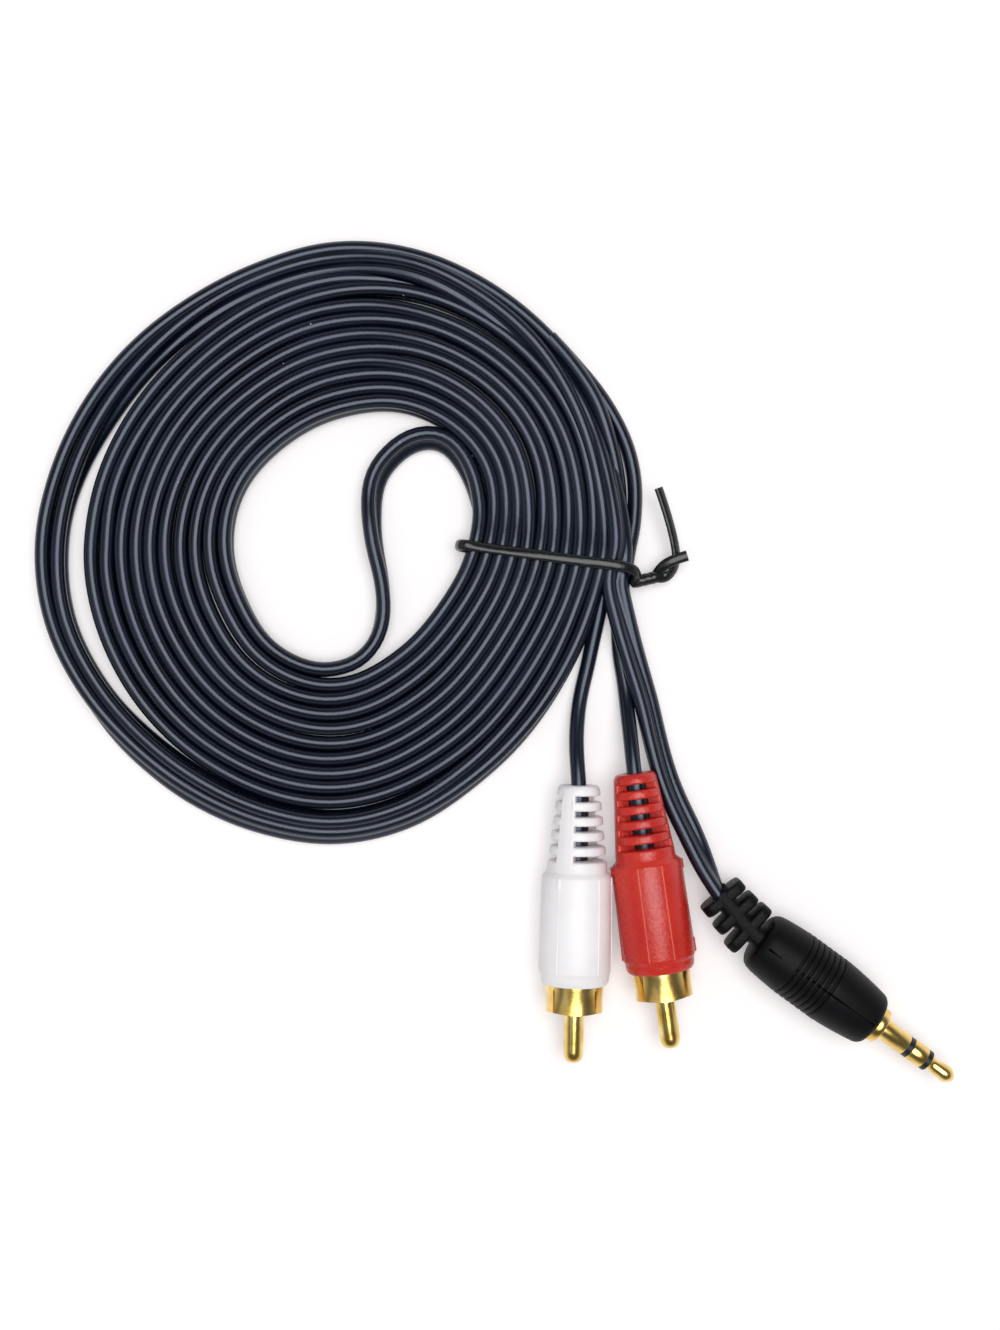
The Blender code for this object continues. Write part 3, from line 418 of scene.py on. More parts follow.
# %% White and red cores
LEAD_RADIUS = 1.22
WHITE_SEEN = [
    (136, 298.6, 3.40), (142, 298.6, 3.45), (150, 298.6, 3.55), (157, 295.0, 3.1), (165, 291.5, 2.1),
    (171, 288.0, 1.5), (177, 284.5, 1.5), (182, 281.0, 1.95),
]
RED_SEEN = [
    (136, 298.6, 1.15), (142, 299.6, 1.15), (150, 303.8, 1.15), (157, 307.0, 1.15), (163, 308.0, 1.15),
    (169, 305.5, 1.2), (176, 299.4, 1.5), (180, 294.5, 1.9), (183, 292.4, 2.05),
]
WHITE_LEAD = [
    (44.1, -5.1, 1.9), (43.1, -8.7, 1.25), (41.5, -15.9, 1.22), (40.7, -19.7, 1.22),
    (39.9, -22.9, 1.4), (39.25, -26.3, 1.95), (38.85, -30.6, 3.3), (38.85, -34.2, 4.8),
    (39.1, -38.45, 5.8), (39.0, -44.0, 5.8),
]
RED_LEAD = [
    (46.7, -5.1, 1.9), (45.9, -8.7, 1.25), (45.7, -12.6, 1.22), (46.0, -17.9, 1.22),
    (46.6, -21.3, 1.45), (47.0, -25.4, 2.35), (47.4, -30.0, 4.1), (47.7, -33.6, 5.2),
    (47.96, -36.54, 5.8), (48.7, -42.0, 5.8),
]


def core_route(seen, lead):
    stations = []
    for angle, px, height in seen:
        at, radius = math.radians(angle), px * PX
        under = beneath(-radius * math.cos(at), radius * math.sin(at), height)
        stations.append((under.x, under.y, height, 0.0))
    stations += [(x, y, z, 0.0) for x, y, z in lead]
    return softened(evenly(stations, 1.0), 2)


cores = {}
for colour, seen, lead in (("white", WHITE_SEEN, WHITE_LEAD), ("red", RED_SEEN, RED_LEAD)):
    route = core_route(seen, lead)
    core = sweep(colour + "_core_cord", route, round_section(LEAD_RADIUS))
    cores[colour] = (core, route, length_of(route))
    print(f"{colour} core: {length_of(route):.0f} mm")

# %% [markdown]
# ## Nodes in code
# A material is a small web of nodes. `node` adds one with its settings and links, and
# `srgb` turns a colour as it is written for the screen into linear light. Patterns lie
# in Object coordinates, which are metres here: a scale of 90 makes 11 mm patches.

# %% Node helpers
def srgb(code):
    """A #rrggbb colour as linear red, green, blue and alpha."""
    parts = [int(code[k : k + 2], 16) / 255 for k in (1, 3, 5)]
    return tuple(c / 12.92 if c <= 0.04045 else ((c + 0.055) / 1.055) ** 2.4 for c in parts) + (1.0,)


def node(tree, kind, inputs=None, **settings):
    """Adds a node, sets what it is, and then sets or links each named input."""
    made = tree.nodes.new(kind)
    for key, value in settings.items():
        setattr(made, key, value)
    for key, value in (inputs or {}).items():
        socket = made.inputs[key]
        if isinstance(value, bpy.types.NodeSocket):
            tree.links.new(value, socket)
        else:
            socket.default_value = value
    return made


def new_material(name):
    """A material, its tree, and the Object coordinates as a socket."""
    material = bpy.data.materials.new(name)
    material.use_nodes = True
    tree = material.node_tree
    tree.nodes.clear()
    return material, tree, node(tree, "ShaderNodeTexCoord").outputs["Object"]


def noise(tree, at, scale, detail=2.0, roughness=0.5):
    """A cloudy pattern with about `scale` clouds a metre."""
    inputs = {"Vector": at, "Scale": scale, "Detail": detail, "Roughness": roughness}
    return node(tree, "ShaderNodeTexNoise", inputs).outputs["Fac"]


def two_tones(tree, factor, low, dark, high, light):
    """A ramp from a dark to a light colour, as the factor goes from low to high."""
    made = node(tree, "ShaderNodeValToRGB", {"Fac": factor})
    first, last = made.color_ramp.elements
    first.position, first.color = low, srgb(dark)
    last.position, last.color = high, srgb(light)
    return made.outputs["Color"]


def rescaled(tree, value, start, end, low, high, **settings):
    """A value that goes from start to end, made to go from low to high."""
    inputs = {"Value": value, "From Min": start, "From Max": end, "To Min": low, "To Max": high}
    return node(tree, "ShaderNodeMapRange", inputs, **settings).outputs["Result"]


def relief_of(tree, height, strength, depth):
    """A shallow relief for a Normal input, its depth in metres."""
    inputs = {"Height": height, "Strength": strength, "Distance": depth}
    return node(tree, "ShaderNodeBump", inputs).outputs["Normal"]


def finish_with(tree, shader):
    node(tree, "ShaderNodeOutputMaterial", {"Surface": shader})


def plain_skin(tree, inputs):
    """A Principled surface as the whole of a material."""
    finish_with(tree, node(tree, "ShaderNodeBsdfPrincipled", inputs).outputs["BSDF"])


def wear(piece, material):
    """The piece shows only this material."""
    piece.data.materials.clear()
    piece.data.materials.append(material)


print("srgb #808080 is", round(srgb("#808080")[0], 3), "linear")

# %% [markdown]
# ## Cord PVC
# Plasticised PVC from an extruder is black with a blue cast, smooth along its length
# and half glossy. Handling dulls it in patches, and a speck of pale dust sticks to it
# here and there. A Mix node has a set of sockets for each kind of value, all with the
# same names, so its colours go by number.

# %% Extruded PVC
MIX_COLOUR_A, MIX_COLOUR_B, MIX_COLOUR_RESULT = 6, 7, 2

cord_pvc, tree, at = new_material("extruded_pvc_cord")
patches = noise(tree, at, 90.0, 3.0, 0.6)
tone = two_tones(tree, patches, 0.30, "#060a14", 0.75, "#0c1424")
specks = node(tree, "ShaderNodeTexVoronoi", {"Vector": at, "Scale": 140.0})
dust = rescaled(tree, specks.outputs["Distance"], 0.014, 0.026, 0.8, 0.0)
dusty = {"Factor": dust, MIX_COLOUR_A: tone, MIX_COLOUR_B: srgb("#9fa6ae")}
dusty = node(tree, "ShaderNodeMix", dusty, data_type="RGBA").outputs[MIX_COLOUR_RESULT]
plain_skin(tree, {
    "Base Color": dusty,
    "Roughness": rescaled(tree, patches, 0.3, 0.7, 0.21, 0.30),
    "IOR": 1.56, "Specular IOR Level": 0.62, "Specular Tint": srgb("#e0eaff"),
    "Normal": relief_of(tree, noise(tree, at, 2600.0), 0.12, 0.00005),
})
for cord in (twin_cord, *(core for core, _, _ in cores.values())):
    wear(cord, cord_pvc)
print("the cords wear", cord_pvc.name)

# %% [markdown]
# ## Turned pieces
# The plugs are round, so their pieces start as a profile, a list of places along the
# axis, each with its radius. It is spun in millimetres about Z, with Z towards the tip
# and Y upwards, and one matrix puts it in its place.

# %% Spin a profile and settle a piece
def axis_matrix(x, y, heading, height):
    """Millimetres about a plug's axis to metres in the frame."""
    turn = math.radians(heading)
    ahead, up = Vector((math.cos(turn), math.sin(turn), 0)), Vector((0, 0, 1))
    matrix = Matrix((up.cross(ahead), up, ahead)).transposed().to_4x4()
    matrix.translation = place(x, y, height)
    return matrix @ Matrix.Scale(MM, 4)


def spun(profile, parts=64, closed=True):
    """A bmesh of the profile's points, each (place on the axis, radius) in mm, turned about Z."""
    shape = bmesh.new()
    verts = [shape.verts.new((radius, 0, at)) for at, radius in profile]
    pairs = list(zip(verts, verts[1:])) + ([(verts[-1], verts[0])] if closed else [])
    edges = [shape.edges.new(pair) for pair in pairs]
    bmesh.ops.spin(
        shape, geom=verts + edges, cent=(0, 0, 0), axis=(0, 0, 1), angle=math.tau, steps=parts,
        use_merge=True,
    )
    bmesh.ops.remove_doubles(shape, verts=shape.verts, dist=1e-4)
    bmesh.ops.recalc_face_normals(shape, faces=shape.faces)
    return shape


def settle(name, shape, matrix, materials, slot, stands_for, sharp=38):
    """Turns a bmesh into a finished piece in its place, riding on the cable."""
    bmesh.ops.transform(shape, matrix=matrix, verts=shape.verts)
    mesh = bpy.data.meshes.new(name)
    shape.to_mesh(mesh)
    shape.free()
    mesh.shade_smooth()
    mesh.set_sharp_from_angle(angle=math.radians(sharp))
    piece = linked(name, mesh)
    for material in materials:
        mesh.materials.append(material)
    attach(piece, "root")
    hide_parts(stands_for)
    return piece


PHONO_AXES = {
    "white": axis_matrix(39.1, -38.45, -91.2, 5.8),
    "red": axis_matrix(47.96, -36.54, -82.3, 5.8),
}
JACK_AXIS = axis_matrix(67.87, -62.91, -36.1, 5.5)
print("three plug axes")

# %% [markdown]
# ## Finishes of the plugs
# The grips are flexible PVC, injection moulded round the finished plug. White PVC is
# softly glossy and lets a little light in; red PVC has a deep full colour and a wet
# gloss that breaks up over its slightly hammered skin; the jack's black one is matte.

# %% Moulded PVC
def moulded_pvc(name, dark, light, roughness, dimples, depth, scatter=0.0, shine=0.5):
    """Moulded plastic with a faint change of tone and a skin of shallow dimples."""
    material, tree, at = new_material(name)
    skin = noise(tree, at, dimples, 3.0, 0.6)
    look = {
        "Base Color": two_tones(tree, noise(tree, at, 140.0), 0.35, dark, 0.65, light),
        "Roughness": rescaled(tree, skin, 0.3, 0.7, roughness - 0.06, roughness + 0.08),
        "IOR": 1.53, "Specular IOR Level": shine,
        "Normal": relief_of(tree, skin, 0.6, depth),
    }
    if scatter:
        look |= {"Subsurface Weight": scatter, "Subsurface Radius": (0.0012, 0.0009, 0.0008)}
    plain_skin(tree, look)
    return material


white_pvc = moulded_pvc(
    "moulded_white_pvc", "#f3f0f2", "#f8f6f8", 0.40, 1500.0, 0.00003, scatter=0.15,
)
red_pvc = moulded_pvc("moulded_red_pvc", "#c0221a", "#cc2d1f", 0.27, 2200.0, 0.00012)
black_pvc = moulded_pvc(
    "moulded_matte_black_pvc", "#040506", "#08090c", 0.48, 2300.0, 0.00007, shine=0.14,
)
print("three moulded PVCs")

# %% [markdown]
# Gold is plated thinly on turned and stamped brass. It is a smooth metal with a warm
# yellow colour, and it shows mostly what is round it: bright lamps and dark gaps.

# %% Gold plate
gold, tree, at = new_material("gold_plated_brass")
waves = noise(tree, at, 420.0)
plain_skin(tree, {
    "Base Color": two_tones(tree, waves, 0.3, "#dcb356", 0.7, "#f4d88e"),
    "Metallic": 1.0, "Roughness": 0.22,
    "Normal": relief_of(tree, waves, 0.35, 0.00012),
})
print(gold.name)

# %% [markdown]
# ## Phono grips
# Each grip is a cone with five pairs of slots, so that it bends with the cord, then a
# longer body. The faces between the rings at a slot's edges are pushed in until they
# meet the cord, whose black skin shows there, and the rims are rounded.

# %% Profile and slots of a phono grip
SLOT_MIDDLES = [2.1 + 2.35 * k for k in range(5)]
SLOT_HALF = 0.48
SLOT_HALF_ANGLE = 70
SLOT_FLOOR = 1.72
INSIDE_SKIN = 2.6
RELIEF_LENGTH, RELIEF_TOP, RELIEF_FOOT = 12.5, 3.35, 4.75


def relief_radius(at):
    return RELIEF_TOP + (RELIEF_FOOT - RELIEF_TOP) * at / RELIEF_LENGTH


def grip_profile():
    outer = [(0.0, 2.75), (0.1, 3.05), (0.35, 3.25), (0.75, relief_radius(0.75))]
    for middle in SLOT_MIDDLES:
        outer += [(at, relief_radius(at)) for at in (middle - SLOT_HALF, middle + SLOT_HALF)]
    outer += [(12.5, 4.75), (13.6, 4.82), (13.85, 4.95), (14.3, 5.45), (14.7, 5.6)]
    outer += [(22.0, 5.74), (29.2, 5.82), (29.6, 5.76), (29.8, 5.6), (30.2, 5.52), (31.2, 5.42)]
    outer += [(31.6, 5.15), (31.6, 4.78)]
    return outer + [(27.0, 4.78), (26.2, 3.5), (13.0, 3.5), (13.0, 1.38), (0.0, 1.38)]


def turn_of(point):
    return math.degrees(math.atan2(point.y, point.x))


def apart(a, b):
    """How far two directions in degrees are apart."""
    return abs((a - b + 180) % 360 - 180)


def round_edges(shape, edges, offset, segments, loop_slide=False):
    bmesh.ops.bevel(
        shape, geom=edges, offset=offset, offset_type="OFFSET", segments=segments, profile=0.5,
        affect="EDGES", material=-1, clamp_overlap=True, loop_slide=loop_slide,
    )


def cut_slots(shape, facing):
    """Pushes the slot faces in to the cord and rounds the rims that they leave."""
    chosen = []
    for face in shape.faces:
        middle = face.calc_center_median()
        in_slot = any(abs(middle.z - m) < SLOT_HALF for m in SLOT_MIDDLES)
        off_facing = min(apart(turn_of(middle), facing + side) for side in (0, 180))
        if in_slot and middle.xy.length > INSIDE_SKIN and off_facing < SLOT_HALF_ANGLE:
            chosen.append(face)
    inside = set(chosen)
    borders = {edge for face in chosen for edge in face.edges}
    rims = [edge for edge in borders if sum(face in inside for face in edge.link_faces) == 1]
    for item in bmesh.ops.extrude_face_region(shape, geom=chosen)["geom"]:
        if isinstance(item, bmesh.types.BMVert):
            item.co.xy *= SLOT_FLOOR / item.co.xy.length
        elif isinstance(item, bmesh.types.BMFace):
            item.material_index = 1
    bmesh.ops.delete(shape, geom=chosen, context="FACES")
    round_edges(shape, [edge for edge in rims if edge.is_valid], 0.4, 4, loop_slide=True)


print(len(grip_profile()), "points in the profile")

# %% [markdown]
# The flash, where the mould's parts met, is drawn as fine rods of a paler PVC: a painted
# highlight for the light line that such a thin ridge catches. The white plug lies rolled
# over to its side.

# %% Phono grips
FLASH_ANGLE = 20
WHITE_FACING, RED_FACING = 33, 90


def raised_line(
    shape, degrees, start, end, radius_start, radius_end, width, sides=12, material=0,
):
    """A fine rod let into the grip along its length."""
    lean = math.atan2(radius_end - radius_start, end - start)
    spot = (
        Matrix.Rotation(math.radians(degrees), 4, "Z")
        @ Matrix.Translation(((radius_start + radius_end) / 2, 0, (start + end) / 2))
        @ Matrix.Rotation(lean, 4, "Y")
    )
    made = bmesh.ops.create_cone(
        shape, cap_ends=True, segments=sides, radius1=width / 2, radius2=width / 2,
        depth=end - start, matrix=spot,
    )
    for face in {f for v in made["verts"] for f in v.link_faces}:
        face.material_index = material


def phono_grip(colour, facing, material, flash):
    """A slotted grip with flash lines on its faces, and seams and lugs at its sides."""
    shape = spun(grip_profile(), parts=64)
    cut_slots(shape, facing)
    for side in (0, 180):
        for off in (-FLASH_ANGLE, FLASH_ANGLE):
            # Material 2, the paler flash PVC, is a painted highlight along each flash line.
            raised_line(shape, facing + side + off, 14.6, 29.4, 5.58, 5.82, 0.3, material=2)
    for off in (-90, 90):
        raised_line(shape, facing + off, 14.4, 29.5, 5.5, 5.8, 0.28)
        raised_line(shape, facing + off, 14.5, 16.0, 5.56, 5.6, 0.56)
    raised_line(shape, facing - 90, 27.2, 29.4, 5.8, 5.84, 0.5)
    return settle(
        colour + "_grip", shape, PHONO_AXES[colour], [material, cord_pvc, flash],
        colour + "_vinyl", colour + "_overmould",
    )


# Paler PVC for the flash lines: a painted highlight where each thin ridge catches the lamp.
white_flash_highlight = moulded_pvc("white_pvc_flash", "#f6e9ee", "#fbf2f5", 0.40, 1500.0, 0.00002)
red_flash_highlight = moulded_pvc("red_pvc_flash", "#d84c3a", "#e0604c", 0.40, 1500.0, 0.00002)
white_grip = phono_grip("white", WHITE_FACING, white_pvc, white_flash_highlight)
red_grip = phono_grip("red", RED_FACING, red_pvc, red_flash_highlight)
print(len(white_grip.data.polygons), "faces on each grip")

# %% [markdown]
# ## Phono shells and pins
# The shell is rolled from thin brass and slit into four petals that grip the socket. A
# spun sheet loses the faces at the slits, its petals are bent a little, and then it gets
# its thickness. The pin is turned from solid brass.

# %% Shells and pins
SHELL_LENGTHS = (29.0, 31.0, 32.2, 33.0, 33.8, 34.6, 35.3, 35.8)
SLIT_FROM, SLIT_TURN, SLIT_HALF_ANGLE = 32.2, 46.8, 3.6
PETAL_FROM, PETAL_LENGTH = 31.5, 4.3
SHEET = 0.38
PIN_PROFILE = [
    (27.5, 0.0), (27.5, 1.6), (42.6, 1.6), (43.2, 1.54), (43.7, 1.36), (44.05, 1.05),
    (44.25, 0.6), (44.3, 0.0),
]


def phono_shell():
    profile = [(26.5, 3.0), (26.6, 4.4), (26.8, 4.62), (27.2, 4.7)]
    profile += [(at, 4.7) for at in SHELL_LENGTHS]
    shape = spun(profile, parts=96, closed=False)
    slit = []
    for face in shape.faces:
        middle = face.calc_center_median()
        if middle.z > SLIT_FROM and apart(turn_of(middle) % 90, SLIT_TURN) < SLIT_HALF_ANGLE:
            slit.append(face)
    bmesh.ops.delete(shape, geom=slit, context="FACES")
    for vert in shape.verts:
        if vert.co.z > PETAL_FROM:
            # Towards its tip a petal closes in, its corners flare and its middle reaches on.
            share = (vert.co.z - PETAL_FROM) / PETAL_LENGTH
            off_middle = abs((turn_of(vert.co) + 45) % 90 - 45) / 45
            flare = 0.05 * share * (off_middle**3)
            vert.co.xy *= 1 - 0.028 * share + flare - 0.02 * math.sin(share * math.pi)
            vert.co.z += 0.25 * share * (1 - off_middle)
    for face in shape.faces:
        face.normal_update()
    bmesh.ops.solidify(shape, geom=shape.faces, thickness=SHEET)
    return shape


plug_pieces = {"white": [white_grip], "red": [red_grip]}
for colour, pieces in plug_pieces.items():
    for name, shape, solid, sharp in (
        ("_shell_ring", phono_shell(), "_shell", 50),
        ("_solid_pin", spun(PIN_PROFILE, parts=48, closed=False), "_centre_pin", 38),
    ):
        pieces.append(settle(
            colour + name, shape, PHONO_AXES[colour], [gold], "gold_plate", colour + solid, sharp,
        ))
print("two shells and two pins")

# %% [markdown]
# ## The jack
# Its grip is moulded in one shot: a barrel with seven fine grooves for the fingers,
# and behind it a bent spine with three pairs of flat ribs.

# %% Barrel, ribs and spine
GROOVES, GROOVE_FROM, GROOVE_PITCH = 7, 6.55, 1.05
RIB_TALL, RIB_THICK, RIB_CORNER, RIB_RIM = 5.6, 1.9, 1.5, 0.42
SPINE_HALF_THICK, SPINE_HALF_TALL, SPINE_POWER = 1.75, 2.86, 0.6
SPINE_BEND = [(0.8, 0.0, 0.0, 0), (-2.6, 0.35, 0, 0), (-5.6, 1.1, 0, 0), (-9.4, 2.05, 0, 0)]
RIB_BEND = [(-9.3, 2.0), (-5.6, 1.1), (-2.6, 0.35), (0.6, 0.0)]


def jack_barrel_profile():
    profile = [
        (0.0, 0.0), (0.0, 3.6), (0.12, 4.1), (0.45, 4.55), (1.05, 4.88), (2.0, 5.08),
        (3.6, 5.25), (5.2, 5.38), (6.2, 5.44),
    ]
    for k in range(GROOVES):
        start = GROOVE_FROM + GROOVE_PITCH * k
        profile += [(start - 0.12, 5.5), (start, 5.45), (start + 0.1, 5.25)]
        profile += [(start + 0.3, 5.25), (start + 0.4, 5.45), (start + 0.52, 5.5)]
    profile += [(14.3, 5.47), (16.0, 5.34), (18.0, 5.13), (20.0, 4.86), (21.5, 4.6)]
    profile += [(22.0, 4.42), (22.4, 4.08), (22.6, 3.6)]
    return profile + [(22.6, 2.5), (19.0, 2.5), (19.0, 3.6), (3.0, 3.6), (3.0, 0.0)]


def squared_off(value, power):
    """Moves a unit circle's point out towards a square's, the more the smaller the power."""
    return math.copysign(abs(value) ** power, value)


def join(shape, other):
    """Adds one bmesh to another and frees it."""
    loose = bpy.data.meshes.new("loose")
    other.to_mesh(loose)
    other.free()
    shape.from_mesh(loose)
    bpy.data.meshes.remove(loose)


def add_rib(shape, station, offset, tilt, reach):
    """A blunt flat rib across the spine: a block with its corners and rims rounded."""
    block = bmesh.new()
    size = Matrix.Diagonal((2 * reach, RIB_TALL, RIB_THICK, 1.0))
    bmesh.ops.create_cube(block, size=1.0, matrix=size)
    upright = [e for e in block.edges if abs((e.verts[0].co - e.verts[1].co).z) > 0.5]
    round_edges(block, upright, RIB_CORNER, 5)
    round_edges(block, [e for e in block.edges if e.calc_face_angle(0) > 1.2], RIB_RIM, 3)
    spot = Matrix.Translation((offset, 0, station)) @ Matrix.Rotation(tilt, 4, "Y")
    bmesh.ops.transform(block, matrix=spot, verts=block.verts)
    join(shape, block)


def extrude_on(shape, ring, moves):
    """Extrudes a ring of vertices, moves it on by each matrix, and closes the far end."""
    rim = list({e for v in ring for e in v.link_edges})
    for move in moves:
        geom = bmesh.ops.extrude_edge_only(shape, edges=rim)["geom"]
        ring = [g for g in geom if isinstance(g, bmesh.types.BMVert)]
        rim = [g for g in geom if isinstance(g, bmesh.types.BMEdge)]
        bmesh.ops.transform(shape, matrix=move, verts=ring)
    bmesh.ops.holes_fill(shape, edges=rim)
    bmesh.ops.recalc_face_normals(shape, faces=shape.faces)


def add_spine(shape):
    """A rod with flattened sides swept down the bend of the relief."""
    bend = evenly(SPINE_BEND, 0.5)
    ring = bmesh.ops.create_circle(shape, cap_ends=True, segments=28, radius=1.0)["verts"]
    for vert in ring:
        thick = SPINE_HALF_THICK * squared_off(vert.co.x, SPINE_POWER)
        tall = SPINE_HALF_TALL * squared_off(vert.co.y, SPINE_POWER)
        vert.co = (bend[0][1] + thick, tall, bend[0][0])
    steps = [Vector((b[1] - a[1], 0, b[0] - a[0])) for a, b in zip(bend, bend[1:])]
    extrude_on(shape, ring, [Matrix.Translation(step) for step in steps])


print(len(jack_barrel_profile()), "points in the profile")

# %% [markdown]
# The two halves of the mould left a seam along the barrel. It is drawn as a thin rod of a
# darker, duller black: painted shade in place of the groove's shadow.

# %% Jack grip
SEAM_TURN = 93
relief = bmesh.new()
add_spine(relief)
for station, reach in ((-2.4, 4.6), (-5.4, 4.15), (-8.4, 3.9)):
    tilt = math.radians(1.4 * station - 3.0)
    add_rib(relief, station, along(RIB_BEND, station)[0], tilt, reach)
barrel = spun(jack_barrel_profile(), parts=96, closed=False)
join(barrel, relief)
raised_line(barrel, SEAM_TURN, 1.2, 14.2, 5.02, 5.5, 0.36, sides=4, material=1)
raised_line(barrel, SEAM_TURN, 14.2, 21.8, 5.5, 4.5, 0.36, sides=4, material=1)
# A darker, duller black for the seam rod: painted shade of the groove.
seam_shade_pvc = moulded_pvc("black_pvc_seam", "#010102", "#030304", 0.6, 1500.0, 0.00002, shine=0.03)
jack_grip = settle(
    "jack_grip", barrel, JACK_AXIS, [black_pvc, seam_shade_pvc], "black_moulded_vinyl", "jack_overmould",
)
print(len(jack_grip.data.polygons), "faces on the jack's grip")

# %% [markdown]
# Sleeve, ring and tip are turned from brass and plated, one round the other, with a
# thin black ring of plastic between them. The tip has a waist that a spring clicks on.

# %% Jack contacts
JACK_TIP = [
    (33.48, 1.32), (33.62, 1.3), (33.9, 1.14), (34.2, 1.05), (34.5, 1.08), (34.9, 1.18),
    (35.6, 1.26), (36.4, 1.34), (36.9, 1.36), (37.3, 1.3), (37.7, 1.08), (38.1, 0.74),
    (38.35, 0.42), (38.5, 0.0),
]
contacts = {
    "jack_sleeve_contact": [
        (22.75, 0.0), (22.75, 2.85), (22.9, 2.95), (23.95, 2.95), (24.1, 2.85), (24.1, 1.75),
        (28.95, 1.75), (29.1, 1.66), (29.1, 0.0),
    ],
    "jack_rear_insulator": [(29.0, 0.0), (29.0, 1.7), (30.0, 1.7), (30.0, 0.0)],
    "jack_ring_contact": [
        (29.94, 0.0), (29.94, 1.68), (30.04, 1.75), (32.5, 1.75), (32.64, 1.68), (32.64, 0.0),
    ],
    "jack_front_insulator": [(32.5, 0.0), (32.5, 1.7), (33.45, 1.7), (33.45, 0.0)],
    "jack_tip_contact": [(33.3, 0.0)] + JACK_TIP,
}
black_nylon = moulded_pvc("moulded_black_nylon", "#0a0a0b", "#111112", 0.4, 900.0, 0.00001)
for name, profile in contacts.items():
    ring = spun(profile, parts=48, closed=False)
    insulates = "insulator" in name
    finish, slot = (black_nylon, "black_insulator") if insulates else (gold, "gold_plate")
    settle(name + "_turned", ring, JACK_AXIS, [finish], slot, name)
print(len(contacts), "jack contacts and rings")

# %% [markdown]
# ## Twist tie
# A tie is a thin wire in a flat band of soft plastic. It goes round the coil, its two
# ends are twisted round each other, and then both stick out. Each station of the band
# is a point of its middle line and the direction of its thin side.

# %% Stations of the tie
TIE_TWIST = (Vector((48.2, -5.9, 3.2)), Vector((51.6, -5.1, 3.2)))
TIE_TURNS = 1.5
TWIST_STEPS, LOOP_STEPS = 18, 12
STRAND_OFF = 0.55
TIE_SHORT_END = [(52.6, -3.4, 3.9), (54.4, -2.4, 4.3), (56.6, -1.7, 4.3)]
TIE_LONG_END = [
    (53.2, -5.2, 2.9), (54.4, -4.2, 3.2), (55.0, -2.2, 3.8), (54.4, 1.2, 4.4), (53.2, 5.4, 4.8),
    (51.9, 9.1, 5.2),
]
TIE_THICK, TIE_WIDE = 0.95, 1.75
TIE_TOP, TIE_BASE = 6.1, 0.52
LOOP_FROM, LOOP_REACH = 1.2, 1.5
UPPER_ROLLS = ((0.85, 6), (0.7, -4), (0.55, -8), (0.4, -14), (0.25, -26), (0.12, -22))


def tie_stations():
    """The band from its short end, through the twist and round the coil, to its long end."""
    flat = Vector((TIE_FROM.x, TIE_FROM.y, 0)), Vector((TIE_TO.x, TIE_TO.y, 0))
    length, run = (flat[1] - flat[0]).length, (flat[1] - flat[0]).normalized()
    up = Vector((0, 0, 1))
    across = run.cross(up)

    def level(distance, height):
        return flat[0] + run * distance + up * height

    start, end = TIE_TWIST
    along_twist = (end - start).normalized()
    side = along_twist.cross(up).normalized()
    lift = side.cross(along_twist)
    upper, lower = [], []
    for k in range(TWIST_STEPS + 1):
        turn = math.tau * TIE_TURNS * k / TWIST_STEPS
        thin = lift * math.cos(turn) + side * math.sin(turn)
        middle = start.lerp(end, k / TWIST_STEPS)
        upper.append((middle + thin * STRAND_OFF, thin))
        lower.append((middle - thin * STRAND_OFF, -thin))
    over = [
        (Vector((48.7, -4.5, 4.6)), (up + run).normalized()),
        (level(length - 0.6, TIE_TOP - 0.35), up), (level(length - 2.2, TIE_TOP), up),
    ]
    for share, roll in UPPER_ROLLS:
        thin = up * math.cos(math.radians(roll)) + across * math.sin(math.radians(roll))
        over.append((level(length * share, TIE_TOP), thin))
    for k in range(LOOP_STEPS + 1):
        turn = math.pi * k / LOOP_STEPS
        rise, reach = up * math.cos(turn), run * math.sin(turn)
        middle = level(LOOP_FROM, (TIE_TOP + TIE_BASE) / 2)
        over.append((middle + rise * (TIE_TOP - TIE_BASE) / 2 - reach * LOOP_REACH, rise - reach))
    under = [(level(length * share, TIE_BASE), -up) for share in (0.12, 0.3, 0.5, 0.7, 0.85)]
    under += [(level(length - 1.7, TIE_BASE), -up)]
    under += [(level(length - 0.2, TIE_BASE + 0.9), (run - up).normalized())]
    short = [(Vector(point), upper[-1][1]) for point in TIE_SHORT_END]
    long = [(Vector(point), (up * 0.7 + run * 0.72).normalized()) for point in TIE_LONG_END]
    return short[::-1] + upper[::-1] + over + under + lower + long


print(len(tie_stations()), "stations before smoothing")

# %% [markdown]
# A smooth curve goes through those stations, and easing takes its small corners out.

# %% Smooth band
def smooth_band(stations, parts=4):
    """More stations on a smooth curve, the thin side turning evenly between them."""
    made = []
    for k in range(len(stations) - 1):
        four = four_about(stations, k)
        for i in range(parts):
            middle = Vector([curve_through(*v, i / parts) for v in zip(*(s[0] for s in four))])
            made.append((middle, four[1][1].slerp(four[2][1], i / parts)))
    return made + [stations[-1]]


def eased_band(stations, rounds):
    """Takes the small corners out of the middle line."""
    middles = [middle for middle, _ in stations]
    for _ in range(rounds):
        threes = zip(middles, middles[1:], middles[2:])
        middles[1:-1] = [(a + 2 * b + c) / 4 for a, b, c in threes]
    return [(middle, thin) for middle, (_, thin) in zip(middles, stations)]


band_stations = eased_band(smooth_band(tie_stations()), 6)
band_length = sum((b[0] - a[0]).length for a, b in zip(band_stations, band_stations[1:]))
print(f"{len(band_stations)} stations, {band_length:.0f} mm of tie")

# %% [markdown]
# The band could be a curve too, but a curve's tilt is hard to steer through a twist. So
# a rounded ring is extruded from station to station, like the jack's spine, and turned
# to each. The wire inside shows as a faint waviness of the gloss.

# %% Sweep the band
TIE_POWER = 0.95


